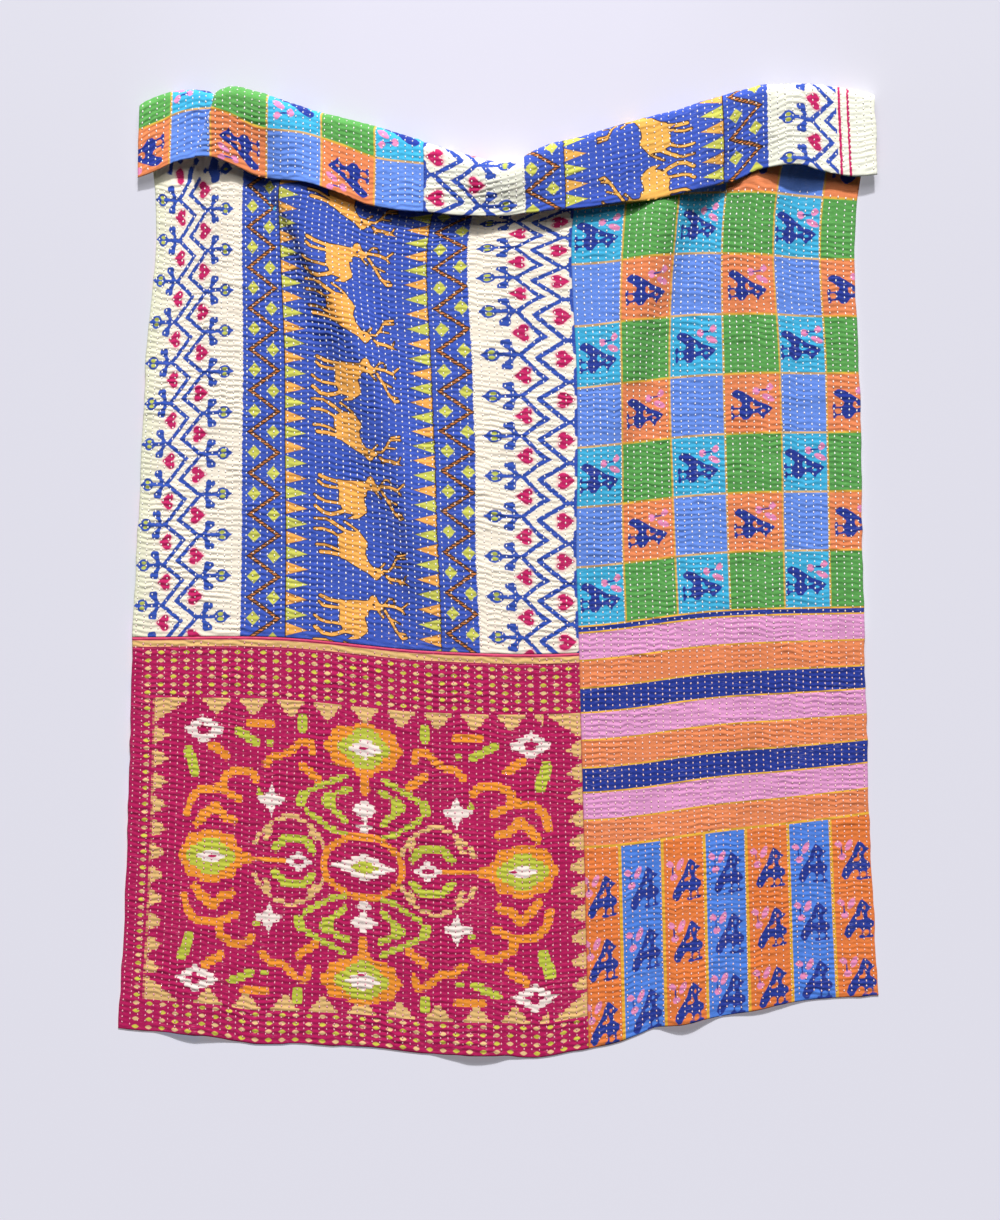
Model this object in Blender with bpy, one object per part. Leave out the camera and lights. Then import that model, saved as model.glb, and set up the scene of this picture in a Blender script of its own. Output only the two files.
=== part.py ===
"""Kantha quilt laid out on a floor, with its top edge turned over onto its face.

Run with: blender --background --python part.py

Frame: metres, +Z up. The floor is z = 0 and the origin is under the middle of the quilt's plan box.
+Y runs from the bottom hem to the turned-over top, and +X from the left edge to the right.

The quilt is two layers of pieced cotton, held together by running stitches. Each sewn panel is one
solid: three on the front and three on the back, which shows on the flap. Every panel is cut from
the same laid-out sheet, a function of two numbers: how far across the cloth, and how far along its
run from the hem, round the turn at the top, to the free edge of the flap.
"""

import bpy
import numpy as np

# The cloth as cut, flat
CLOTH_WIDTH = 1.290
CLOTH_LENGTH = 1.720
PLY = 0.0012
PLY_GAP = 0.0003
SEAM_GAP = 0.0003
FRONT_SEAM = 0.787
BACK_SEAM = 0.503
CROSS_SEAM = 0.662

# The height of the quilt's middle surface where it lies flat
LYING = PLY + PLY_GAP / 2

# The body's length from the hem to the turn. It changes by a centimetre or two across the cloth.
BODY_LENGTH = 1.550

# Outline of the laid quilt: how far across the cloth, and the place along Y
HEM_LINE = (
    (0.000, -0.772), (0.066, -0.777), (0.165, -0.785), (0.213, -0.794), (0.295, -0.797),
    (0.412, -0.802), (0.525, -0.813), (0.639, -0.816), (0.712, -0.819), (0.757, -0.810),
    (0.803, -0.801), (0.855, -0.789), (0.905, -0.770), (0.962, -0.763), (1.012, -0.752),
    (1.085, -0.742), (1.155, -0.725),
    (1.230, -0.720), (1.290, -0.716),
)
TOP_LINE = (
    (0.000, 0.775), (0.032, 0.790), (0.063, 0.798), (0.099, 0.799), (0.123, 0.796),
    (0.137, 0.790), (0.150, 0.797), (0.176, 0.803), (0.203, 0.797), (0.282, 0.773),
    (0.370, 0.752), (0.458, 0.727), (0.564, 0.694), (0.617, 0.680), (0.643, 0.678),
    (0.670, 0.684), (0.705, 0.702), (0.775, 0.722), (0.881, 0.751), (0.987, 0.778),
    (1.057, 0.798), (1.089, 0.806), (1.128, 0.806), (1.198, 0.808), (1.251, 0.801),
    (1.290, 0.793),
)
FLAP_LINE = (
    (0.000, 0.653), (0.035, 0.666), (0.070, 0.681), (0.108, 0.686), (0.135, 0.685),
    (0.170, 0.675), (0.210, 0.658), (0.311, 0.643), (0.362, 0.628), (0.411, 0.609),
    (0.491, 0.597), (0.558, 0.591), (0.633, 0.589), (0.720, 0.597), (0.807, 0.607),
    (0.883, 0.617), (0.972, 0.631), (1.047, 0.651), (1.075, 0.664), (1.113, 0.671),
    (1.155, 0.674), (1.203, 0.663), (1.246, 0.656), (1.290, 0.660),
)

# Places of the body's cloth on the floor, on lines across it between the hem and the turn. The
# first number is how far along the cloth a line lies. Places along X are given at seven distances
# across the cloth, and places along Y at six even steps.
ACROSS_X = (0.000, 0.268, 0.544, 0.787, 0.963, 1.154, 1.290)
PLACES_X = (
    (0.000, -0.636, -0.368, -0.091, 0.153, 0.321, 0.504, 0.640),
    (0.336, -0.619, -0.359, -0.090, 0.146, 0.313, 0.493, 0.624),
    (0.706, -0.609, -0.356, -0.095, 0.136, 0.302, 0.481, 0.614),
    (1.105, -0.589, -0.359, -0.109, 0.131, 0.290, 0.473, 0.607),
    (1.404, -0.573, -0.363, -0.110, 0.126, 0.302, 0.468, 0.604),
    (1.550, -0.598, -0.343, -0.080, 0.151, 0.318, 0.500, 0.630),
)
STEPS_Y = 6
PLACES_Y = (
    (0.336, -0.438, -0.451, -0.471, -0.466, -0.424, -0.404),
    (0.706, -0.071, -0.070, -0.093, -0.098, -0.071, -0.064),
    (1.105, 0.328, 0.335, 0.302, 0.302, 0.325, 0.328),
    (1.404, 0.631, 0.633, 0.587, 0.601, 0.631, 0.619),
)

# How far the flap's left and right ends lie out past the turn's
FLAP_SPREAD = (-0.005, 0.007)

# Soft folds of the body. Each runs along the cloth from its foot to its head, as shares of the
# body's length, and is a smooth ridge over the floor. Centre and height are at foot, middle, head.
FOLDS = (
    # foot, head, centres across, half width, heights
    (0.50, 1.00, (0.200, 0.170, 0.155), 0.100, (0.000, 0.012, 0.020)),
    (0.42, 1.00, (0.560, 0.420, 0.250), 0.085, (0.000, 0.022, 0.014)),
    (0.05, 0.88, (0.430, 0.520, 0.600), 0.090, (0.000, 0.014, 0.000)),
    (0.30, 1.00, (0.700, 0.700, 0.700), 0.075, (0.000, 0.008, 0.008)),
    (0.50, 1.00, (0.800, 0.880, 1.010), 0.080, (0.000, 0.023, 0.016)),
    (0.00, 1.00, (1.100, 1.120, 1.130), 0.085, (0.005, 0.014, 0.020)),
    (0.20, 0.96, (1.275, 1.270, 1.265), 0.050, (0.000, 0.011, 0.000)),
    (0.10, 0.90, (0.005, 0.010, 0.015), 0.060, (0.000, 0.009, 0.000)),
    (0.00, 0.28, (0.130, 0.135, 0.140), 0.080, (0.009, 0.007, 0.000)),
    (0.00, 0.32, (0.600, 0.600, 0.610), 0.090, (0.011, 0.008, 0.000)),
    (0.00, 0.26, (0.960, 0.955, 0.950), 0.070, (0.012, 0.008, 0.000)),
)

# The turn at the top: its radius, and where it rolls wider, as centre, spread and extra radius
TURN_RADIUS = 0.012
TURN_ROLLS = ((0.645, 0.120, 0.009), (0.180, 0.080, 0.003), (1.120, 0.100, 0.003))

# The flap: how high its free edge stands over the body, and where it stands higher
FLAP_LIFT = 0.011
FLAP_LIFTS = ((0.600, 0.300, 0.013),)

# The pinch near the flap's left end, where the cloth steps up over a sharp crease
PINCH_AT_TURN = 0.139
PINCH_AT_EDGE = 0.106
PINCH_RISE = 0.015
PINCH_WIDTH = 0.0035
PINCH_FADE = 0.110

# The evenly spaced steps across the cloth on which its places are worked out
FINE_STEPS = 516
STEEPEST = 0.95
NORMAL_STEP = 0.003

# The mesh: columns across and rows along the run, shared by every panel, with closer columns at
# the pinch. Even ones too near to a seam or a pinch column are left out.
COLUMN_STEP = 0.046
PINCH_COLUMNS = (0.098, 0.110, 0.122, 0.133, 0.145, 0.158)
BODY_ROWS = 17
TURN_ROWS = 6
FLAP_ROWS = 4
CLOSEST_COLUMN = 0.013

# Colours of the three cloths
CREAM_BLUE = (0.18, 0.24, 0.62, 1.0)
MAGENTA = (0.55, 0.02, 0.14, 1.0)
CHECK_BLUE = (0.15, 0.42, 0.62, 1.0)
COTTON_ROUGHNESS = 0.9


def clear_scene():
    for obj in list(bpy.data.objects):
        bpy.data.objects.remove(obj)


def smooth(at, knots, values):
    """A cubic through the knots, with slopes from their neighbours. values may hold a row of
    places for each knot."""
    knots = np.asarray(knots, float)
    values = np.asarray(values, float)
    at = np.atleast_1d(at)
    slopes = np.gradient(values, knots, axis=0)
    low = np.clip(np.searchsorted(knots, at, side="right") - 1, 0, len(knots) - 2)
    shape = (-1,) + (1,) * (values.ndim - 1)
    step = (knots[low + 1] - knots[low]).reshape(shape)
    t = ((at - knots[low]).reshape(shape)) / step
    return (
        (2 * t**3 - 3 * t**2 + 1) * values[low]
        + (t**3 - 2 * t**2 + t) * step * slopes[low]
        + (3 * t**2 - 2 * t**3) * values[low + 1]
        + (t**3 - t**2) * step * slopes[low + 1]
    )


def bell(across, centre, spread):
    return np.exp(-(((across - centre) / spread) ** 2))


def turn_radius(across):
    return TURN_RADIUS + sum(more * bell(across, c, w) for c, w, more in TURN_ROLLS)


def flap_lift(across):
    return FLAP_LIFT + sum(more * bell(across, c, w) for c, w, more in FLAP_LIFTS)


def through_three(t, values):
    """The parabola through three values at t = 0, 1/2 and 1."""
    first, middle, last = values
    return first * (1 - t) * (1 - 2 * t) + middle * 4 * t * (1 - t) + last * t * (2 * t - 1)


def fold_height(across, share):
    """The body's height over its lying place: the sum of its folds, each a raised cosine."""
    height = np.zeros(np.broadcast(across, share).shape)
    for foot, head, centres, half_width, heights in FOLDS:
        t = (share - foot) / (head - foot)
        inside = (t >= 0) & (t <= 1)
        t = np.clip(t, 0, 1)
        off = np.clip((across - through_three(t, centres)) / half_width, -1, 1)
        ridge = through_three(t, heights) * np.cos(off * np.pi / 2) ** 2
        height += np.where(inside, np.maximum(ridge, 0), 0)
    return height


def pinch(across, share):
    """The step up at the pinch, and its fading away to the right. share runs from turn to edge."""
    past = across - (PINCH_AT_TURN + (PINCH_AT_EDGE - PINCH_AT_TURN) * share)
    step = 0.5 + 0.5 * np.tanh(past / PINCH_WIDTH)
    return PINCH_RISE * step * np.exp(-np.maximum(past, 0) / PINCH_FADE)


def ease(t):
    return t * t * (3 - 2 * t)


def lay_out(across, run):
    """The laid quilt's middle surface. across is distances over the cloth, and run is 0 at the
    hem, 1 where the turn starts, 2 where it ends and 3 at the flap's free edge. It gives a grid
    of points, a row for each value of run."""
    run = np.clip(np.asarray(run, float), 0, 3)[:, None]
    fine = np.linspace(0, CLOTH_WIDTH, FINE_STEPS + 1)
    body = np.clip(run, 0, 1)
    turn = np.clip(run - 1, 0, 1)
    flap = np.clip(run - 2, 0, 1)
    radius = turn_radius(fine)

    # Places along Y: sections of the body, a half circle, and the flap back over the body
    turn_centre = smooth(fine, *zip(*TOP_LINE)) - radius
    steps = np.linspace(0, CLOTH_WIDTH, STEPS_Y)
    lines = [smooth(fine, *zip(*HEM_LINE))]
    lines += [smooth(fine, steps, row[1:]) for row in PLACES_Y]
    lines.append(turn_centre)
    knots = [0.0] + [row[0] / BODY_LENGTH for row in PLACES_Y] + [1.0]
    y = smooth(body[:, 0], knots, np.array(lines))
    y = y + radius * np.sin(turn * np.pi)
    flap_reach = turn_centre - smooth(fine, *zip(*FLAP_LINE))
    y = y - flap * flap_reach

    # Heights: folds on the floor, then the turn's half circle, then the flap over the folds
    below = np.where(run > 2, 1 - flap * flap_reach / BODY_LENGTH, body)
    over = radius * (1 - np.cos(turn * np.pi))
    over = np.where(run > 2, 2 * radius * (1 - ease(flap)) + flap_lift(fine) * ease(flap), over)
    rise = pinch(fine, flap) * (1 - np.cos(turn * np.pi)) / 2
    z = LYING + fold_height(fine, below) + over + rise

    # Places along X: the cloth keeps its width, so steep stretches cover less floor
    slope = np.clip(np.gradient(z, fine, axis=1), -STEEPEST, STEEPEST)
    cover = np.sqrt(1 - slope**2)
    reach = np.cumsum((cover[:, 1:] + cover[:, :-1]) / 2, axis=1)
    reach = np.concatenate([np.zeros((len(run), 1)), reach], axis=1) / reach[:, -1:]
    table = np.array(PLACES_X)
    places = smooth(body[:, 0], table[:, 0] / BODY_LENGTH, table[:, 1:])
    shares = smooth((reach * CLOTH_WIDTH).ravel(), ACROSS_X, np.eye(len(ACROSS_X)))
    x = np.einsum("rnk,rk->rn", shares.reshape(*reach.shape, -1), places)
    x = x + flap * (FLAP_SPREAD[0] * (1 - reach) + FLAP_SPREAD[1] * reach)

    # From the even fine steps to the distances asked for
    place = np.clip(np.asarray(across) / CLOTH_WIDTH, 0, 1) * FINE_STEPS
    low = np.minimum(place.astype(int), FINE_STEPS - 1)
    part = place - low
    grid = np.stack([x, y, z], axis=2)
    return grid[:, low] * (1 - part)[:, None] + grid[:, low + 1] * part[:, None]


def lay_out_normals(across, run):
    """Unit normals of the laid-out sheet on the front's side, from small steps about each point."""
    across, run = np.asarray(across, float), np.asarray(run, float)
    along_x = lay_out(across + NORMAL_STEP, run) - lay_out(across - NORMAL_STEP, run)
    along_run = lay_out(across, run + NORMAL_STEP) - lay_out(across, run - NORMAL_STEP)
    normal = np.cross(along_x, along_run)
    return normal / np.linalg.norm(normal, axis=2, keepdims=True)


def shared_columns():
    """Distances across the cloth of every panel's columns, so that the facets of the front and
    the back run side by side."""
    kept = [0.0, CLOTH_WIDTH, FRONT_SEAM, BACK_SEAM, *PINCH_COLUMNS]
    for value in np.arange(COLUMN_STEP, CLOTH_WIDTH, COLUMN_STEP):
        if min(abs(value - other) for other in kept) > CLOSEST_COLUMN:
            kept.append(float(value))
    return np.array(sorted(kept))


def shared_rows():
    """Values of the run of every panel's rows, closest on the turn."""
    return np.unique(np.concatenate([
        np.linspace(0, 1, BODY_ROWS + 1),
        np.linspace(1, 2, TURN_ROWS + 1),
        np.linspace(2, 3, FLAP_ROWS + 1),
        [CROSS_SEAM / BODY_LENGTH],
    ]))


def between(shared, first, last):
    """first and last, and the shared values inside them."""
    inside = shared[(shared > first + SEAM_GAP) & (shared < last - SEAM_GAP)]
    return np.concatenate([[first], inside, [last]])


def closed_shell(upper, lower):
    """Points and triangles of the closed solid between two grids, facing out. Every cell of
    both grids is cut along the same diagonal."""
    rows, columns = upper.shape[:2]
    over = np.arange(rows * columns).reshape(rows, columns)
    under = over + rows * columns
    a, b, c, d = (g.ravel() for g in (over[:-1, :-1], over[:-1, 1:], over[1:, 1:], over[1:, :-1]))
    top = np.concatenate([np.stack([a, b, c], 1), np.stack([a, c, d], 1)])
    bottom = top[:, ::-1] + rows * columns
    edge_up = np.concatenate([over[0, :-1], over[:-1, -1], over[-1, :0:-1], over[:0:-1, 0]])
    edge_down = np.concatenate([under[0, :-1], under[:-1, -1], under[-1, :0:-1], under[:0:-1, 0]])
    next_up = np.roll(edge_up, -1)
    next_down = np.roll(edge_down, -1)
    rim = np.concatenate([
        np.stack([edge_up, edge_down, next_down], 1),
        np.stack([edge_up, next_down, next_up], 1),
    ])
    points = np.concatenate([upper.reshape(-1, 3), lower.reshape(-1, 3)])
    return points.tolist(), np.concatenate([top, bottom, rim]).tolist()


def cotton(name, colour):
    material = bpy.data.materials.new(name)
    material.use_nodes = True
    shader = material.node_tree.nodes["Principled BSDF"]
    shader.inputs["Base Color"].default_value = colour
    shader.inputs["Roughness"].default_value = COTTON_ROUGHNESS
    shader.inputs["Metallic"].default_value = 0.0
    return material


def make_panel(name, material, side, across, run):
    """One sewn panel: the laid-out sheet between its seams, a cloth's thickness thick, on the
    front's side (+1) or the back's (-1) of the quilt's middle surface."""
    columns = between(shared_columns(), *across)
    rows = between(shared_rows(), *run)
    grid = lay_out(columns, rows)
    normal = lay_out_normals(columns, rows)
    inner = grid + side * PLY_GAP / 2 * normal
    outer = grid + side * (PLY_GAP / 2 + PLY) * normal
    upper, lower = (outer, inner) if side > 0 else (inner, outer)
    points, triangles = closed_shell(upper, lower)
    mesh = bpy.data.meshes.new(name)
    mesh.from_pydata(points, [], triangles)
    mesh.materials.append(material)
    mesh.validate()
    panel = bpy.data.objects.new(name, mesh)
    bpy.context.scene.collection.objects.link(panel)


def build():
    clear_scene()
    left_of, right_of = -SEAM_GAP / 2, SEAM_GAP / 2
    cross = CROSS_SEAM / BODY_LENGTH
    cross_gap = SEAM_GAP / 2 / BODY_LENGTH
    whole, above, below = (0.0, 3.0), (cross + cross_gap, 3.0), (0.0, cross - cross_gap)
    front_left = (0.0, FRONT_SEAM + left_of)
    front_right = (FRONT_SEAM + right_of, CLOTH_WIDTH)
    back_left = (0.0, BACK_SEAM + left_of)
    back_right = (BACK_SEAM + right_of, CLOTH_WIDTH)
    deer_cloth = cotton("deer_cotton", CREAM_BLUE)
    medallion_cloth = cotton("medallion_cotton", MAGENTA)
    check_cloth = cotton("check_cotton", CHECK_BLUE)
    front, back = 1, -1
    make_panel("front_deer_panel", deer_cloth, front, front_left, above)
    make_panel("front_medallion_panel", medallion_cloth, front, front_left, below)
    make_panel("front_check_panel", check_cloth, front, front_right, whole)
    make_panel("back_deer_panel", deer_cloth, back, back_right, above)
    make_panel("back_medallion_panel", medallion_cloth, back, back_right, below)
    make_panel("back_check_panel", check_cloth, back, back_left, whole)


build()
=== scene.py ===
"""Kantha quilt: the look of the laid quilt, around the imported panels.

Each panel of the frame is replaced by a closed sheet of stitched cotton on the same laid-out shape,
with its puckers, and by its running stitches. A point of the cloth is known by how far across it
lies, and by its run: 0 at the hem, 1 where the turn starts, 2 where it ends, 3 at the flap's edge.
Prints are worked out in the cloth's own flat metres. Small figures are signed distances, kept on
the mesh, and straight bands, checks and dashes are drawn by the material from the same metres.
"""

import bpy
import numpy as np
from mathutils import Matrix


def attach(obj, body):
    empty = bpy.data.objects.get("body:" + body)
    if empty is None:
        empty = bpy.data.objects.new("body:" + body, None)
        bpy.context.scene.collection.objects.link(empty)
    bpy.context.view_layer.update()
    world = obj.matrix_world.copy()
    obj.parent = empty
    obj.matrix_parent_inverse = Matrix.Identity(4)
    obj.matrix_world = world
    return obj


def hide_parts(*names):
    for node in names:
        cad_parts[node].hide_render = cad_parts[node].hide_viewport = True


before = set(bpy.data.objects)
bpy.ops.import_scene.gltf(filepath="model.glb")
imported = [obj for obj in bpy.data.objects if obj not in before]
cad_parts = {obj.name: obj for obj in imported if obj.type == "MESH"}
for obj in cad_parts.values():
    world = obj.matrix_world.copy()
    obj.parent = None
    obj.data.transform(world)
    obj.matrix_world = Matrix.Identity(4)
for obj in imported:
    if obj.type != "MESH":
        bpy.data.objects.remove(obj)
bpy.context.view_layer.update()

# The cloth as cut, flat, and its two layers
CLOTH_WIDTH = 1.290
CLOTH_LENGTH = 1.720
BODY_LENGTH = 1.550
PLY = 0.0012
PLY_GAP = 0.0003
SEAM_GAP = 0.0003
FRONT_SEAM = 0.787
BACK_SEAM = 0.503
CROSS_SEAM = 0.662
LYING = PLY + PLY_GAP / 2

# Outline of the laid quilt: how far across the cloth, and the place along Y
HEM_LINE = (
    (0.000, -0.772), (0.066, -0.777), (0.165, -0.785), (0.213, -0.794), (0.295, -0.797),
    (0.412, -0.802), (0.525, -0.813), (0.639, -0.816), (0.712, -0.819), (0.757, -0.810),
    (0.803, -0.801), (0.855, -0.789), (0.905, -0.770), (0.962, -0.763), (1.012, -0.752),
    (1.085, -0.742), (1.155, -0.725), (1.230, -0.720), (1.290, -0.716),
)
TOP_LINE = (
    (0.000, 0.775), (0.032, 0.790), (0.063, 0.798), (0.099, 0.799), (0.123, 0.796),
    (0.137, 0.790), (0.150, 0.797), (0.176, 0.803), (0.203, 0.797), (0.282, 0.773),
    (0.370, 0.752), (0.458, 0.727), (0.564, 0.694), (0.617, 0.680), (0.643, 0.678),
    (0.670, 0.684), (0.705, 0.702), (0.775, 0.722), (0.881, 0.751), (0.987, 0.778),
    (1.057, 0.798), (1.089, 0.806), (1.128, 0.806), (1.198, 0.808), (1.251, 0.801),
    (1.290, 0.793),
)
FLAP_LINE = (
    (0.000, 0.653), (0.035, 0.666), (0.070, 0.681), (0.108, 0.686), (0.135, 0.685),
    (0.170, 0.675), (0.210, 0.658), (0.311, 0.643), (0.362, 0.628), (0.411, 0.609),
    (0.491, 0.597), (0.558, 0.591), (0.633, 0.589), (0.720, 0.597), (0.807, 0.607),
    (0.883, 0.617), (0.972, 0.631), (1.047, 0.651), (1.075, 0.664), (1.113, 0.671),
    (1.155, 0.674), (1.203, 0.663), (1.246, 0.656), (1.290, 0.660),
)

# Places of the body's cloth on the floor, on lines across it between the hem and the turn
ACROSS_X = (0.000, 0.268, 0.544, 0.787, 0.963, 1.154, 1.290)
PLACES_X = (
    (0.000, -0.636, -0.368, -0.091, 0.153, 0.321, 0.504, 0.640),
    (0.336, -0.619, -0.359, -0.090, 0.146, 0.313, 0.493, 0.624),
    (0.706, -0.609, -0.356, -0.095, 0.136, 0.302, 0.481, 0.614),
    (1.105, -0.589, -0.359, -0.109, 0.131, 0.290, 0.473, 0.607),
    (1.404, -0.573, -0.363, -0.110, 0.126, 0.302, 0.468, 0.604),
    (1.550, -0.598, -0.343, -0.080, 0.151, 0.318, 0.500, 0.630),
)
STEPS_Y = 6
PLACES_Y = (
    (0.336, -0.438, -0.451, -0.471, -0.466, -0.424, -0.404),
    (0.706, -0.071, -0.070, -0.093, -0.098, -0.071, -0.064),
    (1.105, 0.328, 0.335, 0.302, 0.302, 0.325, 0.328),
    (1.404, 0.631, 0.633, 0.587, 0.601, 0.631, 0.619),
)
FLAP_SPREAD = (-0.005, 0.007)

# Soft folds of the body: foot, head, centres across, half width, and heights at foot, middle, head
FOLDS = (
    (0.50, 1.00, (0.200, 0.170, 0.155), 0.100, (0.000, 0.012, 0.020)),
    (0.42, 1.00, (0.560, 0.420, 0.250), 0.085, (0.000, 0.022, 0.014)),
    (0.05, 0.88, (0.430, 0.520, 0.600), 0.090, (0.000, 0.014, 0.000)),
    (0.30, 1.00, (0.700, 0.700, 0.700), 0.075, (0.000, 0.008, 0.008)),
    (0.50, 1.00, (0.800, 0.880, 1.010), 0.080, (0.000, 0.023, 0.016)),
    (0.00, 1.00, (1.100, 1.120, 1.130), 0.085, (0.005, 0.014, 0.020)),
    (0.20, 0.96, (1.275, 1.270, 1.265), 0.050, (0.000, 0.011, 0.000)),
    (0.10, 0.90, (0.005, 0.010, 0.015), 0.060, (0.000, 0.009, 0.000)),
    (0.00, 0.28, (0.130, 0.135, 0.140), 0.080, (0.009, 0.007, 0.000)),
    (0.00, 0.32, (0.600, 0.600, 0.610), 0.090, (0.011, 0.008, 0.000)),
    (0.00, 0.26, (0.960, 0.955, 0.950), 0.070, (0.012, 0.008, 0.000)),
)
TURN_RADIUS = 0.012
TURN_ROLLS = ((0.645, 0.120, 0.009), (0.180, 0.080, 0.003), (1.120, 0.100, 0.003))
FLAP_LIFT = 0.011
FLAP_LIFTS = ((0.600, 0.300, 0.013),)
PINCH_AT_TURN = 0.139
PINCH_AT_EDGE = 0.106
PINCH_RISE = 0.015
PINCH_WIDTH = 0.0035
PINCH_FADE = 0.110
FINE_STEPS = 516
STEEPEST = 0.95
NORMAL_STEP = 0.003

# Running stitches, and the puckers that they pull
STITCH_PITCH = 0.0093
STITCH_LENGTH = 0.0066
STITCH_HALF_WIDTH = 0.0016
STITCH_RISE = 0.0013
COLUMNS_PER_ROW = 4
PUCKER = 0.00125
CHANNEL = 0.0006
EDGE_ROUND = 0.003
INNER_STEP = 0.0125

# Sizes of the prints, in flat metres
VINE_PITCH = 0.0676
DEER_PITCH = 0.199
CHECK_EDGES = (0.084, 0.176, 0.270, 0.367, 0.447)
CHECK_HEIGHT = 0.0998
CHECKS_FROM = 0.706
STRIPES_FROM = 0.334
BIRD_COLUMN = 0.0745
BIRD_COLUMN_START = 0.062
BIRD_PITCH = 0.1056


def smooth(at, knots, values):
    """A cubic through the knots, with slopes from their neighbours. values may hold a row of
    places for each knot."""
    knots = np.asarray(knots, float)
    values = np.asarray(values, float)
    at = np.atleast_1d(at)
    slopes = np.gradient(values, knots, axis=0)
    low = np.clip(np.searchsorted(knots, at, side="right") - 1, 0, len(knots) - 2)
    shape = (-1,) + (1,) * (values.ndim - 1)
    step = (knots[low + 1] - knots[low]).reshape(shape)
    t = ((at - knots[low]).reshape(shape)) / step
    return (
        (2 * t**3 - 3 * t**2 + 1) * values[low]
        + (t**3 - 2 * t**2 + t) * step * slopes[low]
        + (3 * t**2 - 2 * t**3) * values[low + 1]
        + (t**3 - t**2) * step * slopes[low + 1]
    )


def bell(across, centre, spread):
    return np.exp(-(((across - centre) / spread) ** 2))


def turn_radius(across):
    return TURN_RADIUS + sum(more * bell(across, c, w) for c, w, more in TURN_ROLLS)


def flap_lift(across):
    return FLAP_LIFT + sum(more * bell(across, c, w) for c, w, more in FLAP_LIFTS)


def through_three(t, values):
    """The parabola through three values at t = 0, 1/2 and 1."""
    first, middle, last = values
    return first * (1 - t) * (1 - 2 * t) + middle * 4 * t * (1 - t) + last * t * (2 * t - 1)


def fold_height(across, share):
    """The body's height over its lying place: the sum of its folds, each a raised cosine."""
    height = np.zeros(np.broadcast(across, share).shape)
    for foot, head, centres, half_width, heights in FOLDS:
        t = (share - foot) / (head - foot)
        inside = (t >= 0) & (t <= 1)
        t = np.clip(t, 0, 1)
        off = np.clip((across - through_three(t, centres)) / half_width, -1, 1)
        ridge = through_three(t, heights) * np.cos(off * np.pi / 2) ** 2
        height += np.where(inside, np.maximum(ridge, 0), 0)
    return height


def drag(across, share):
    """A crease that the grip pulled into the upper left: steep on its lower left side, and
    fading away over the other."""
    line = 0.255 + 0.42 * (0.90 - share) + 0.10 * np.sin(np.pi * np.clip((0.90 - share) / 0.5, 0, 1))
    past = (across - line) / 0.013
    rise = (0.5 + 0.5 * np.tanh(past)) * np.exp(-np.maximum(past, 0) / 7)
    along = np.clip((share - 0.46) / 0.16, 0, 1) * np.clip((0.98 - share) / 0.06, 0, 1)
    return 0.0085 * rise * ease(along)


def lifted(across):
    """How much the flap's free edge stands up at its ends, and is pressed down between."""
    ends = 0.009 * bell(across, 0.085, 0.075) + 0.010 * bell(across, 1.19, 0.16)
    return ends - 0.004 * bell(across, 0.33, 0.12)


def pinch(across, share):
    """The step up at the pinch, and its fading away to the right. share runs from turn to edge."""
    past = across - (PINCH_AT_TURN + (PINCH_AT_EDGE - PINCH_AT_TURN) * share)
    step = 0.5 + 0.5 * np.tanh(past / PINCH_WIDTH)
    return PINCH_RISE * step * np.exp(-np.maximum(past, 0) / PINCH_FADE)


def ease(t):
    return t * t * (3 - 2 * t)


def flap_reach(across):
    """How far the flap reaches back from the turn over the body."""
    return smooth(across, *zip(*TOP_LINE)) - turn_radius(across) - smooth(across, *zip(*FLAP_LINE))


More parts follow.
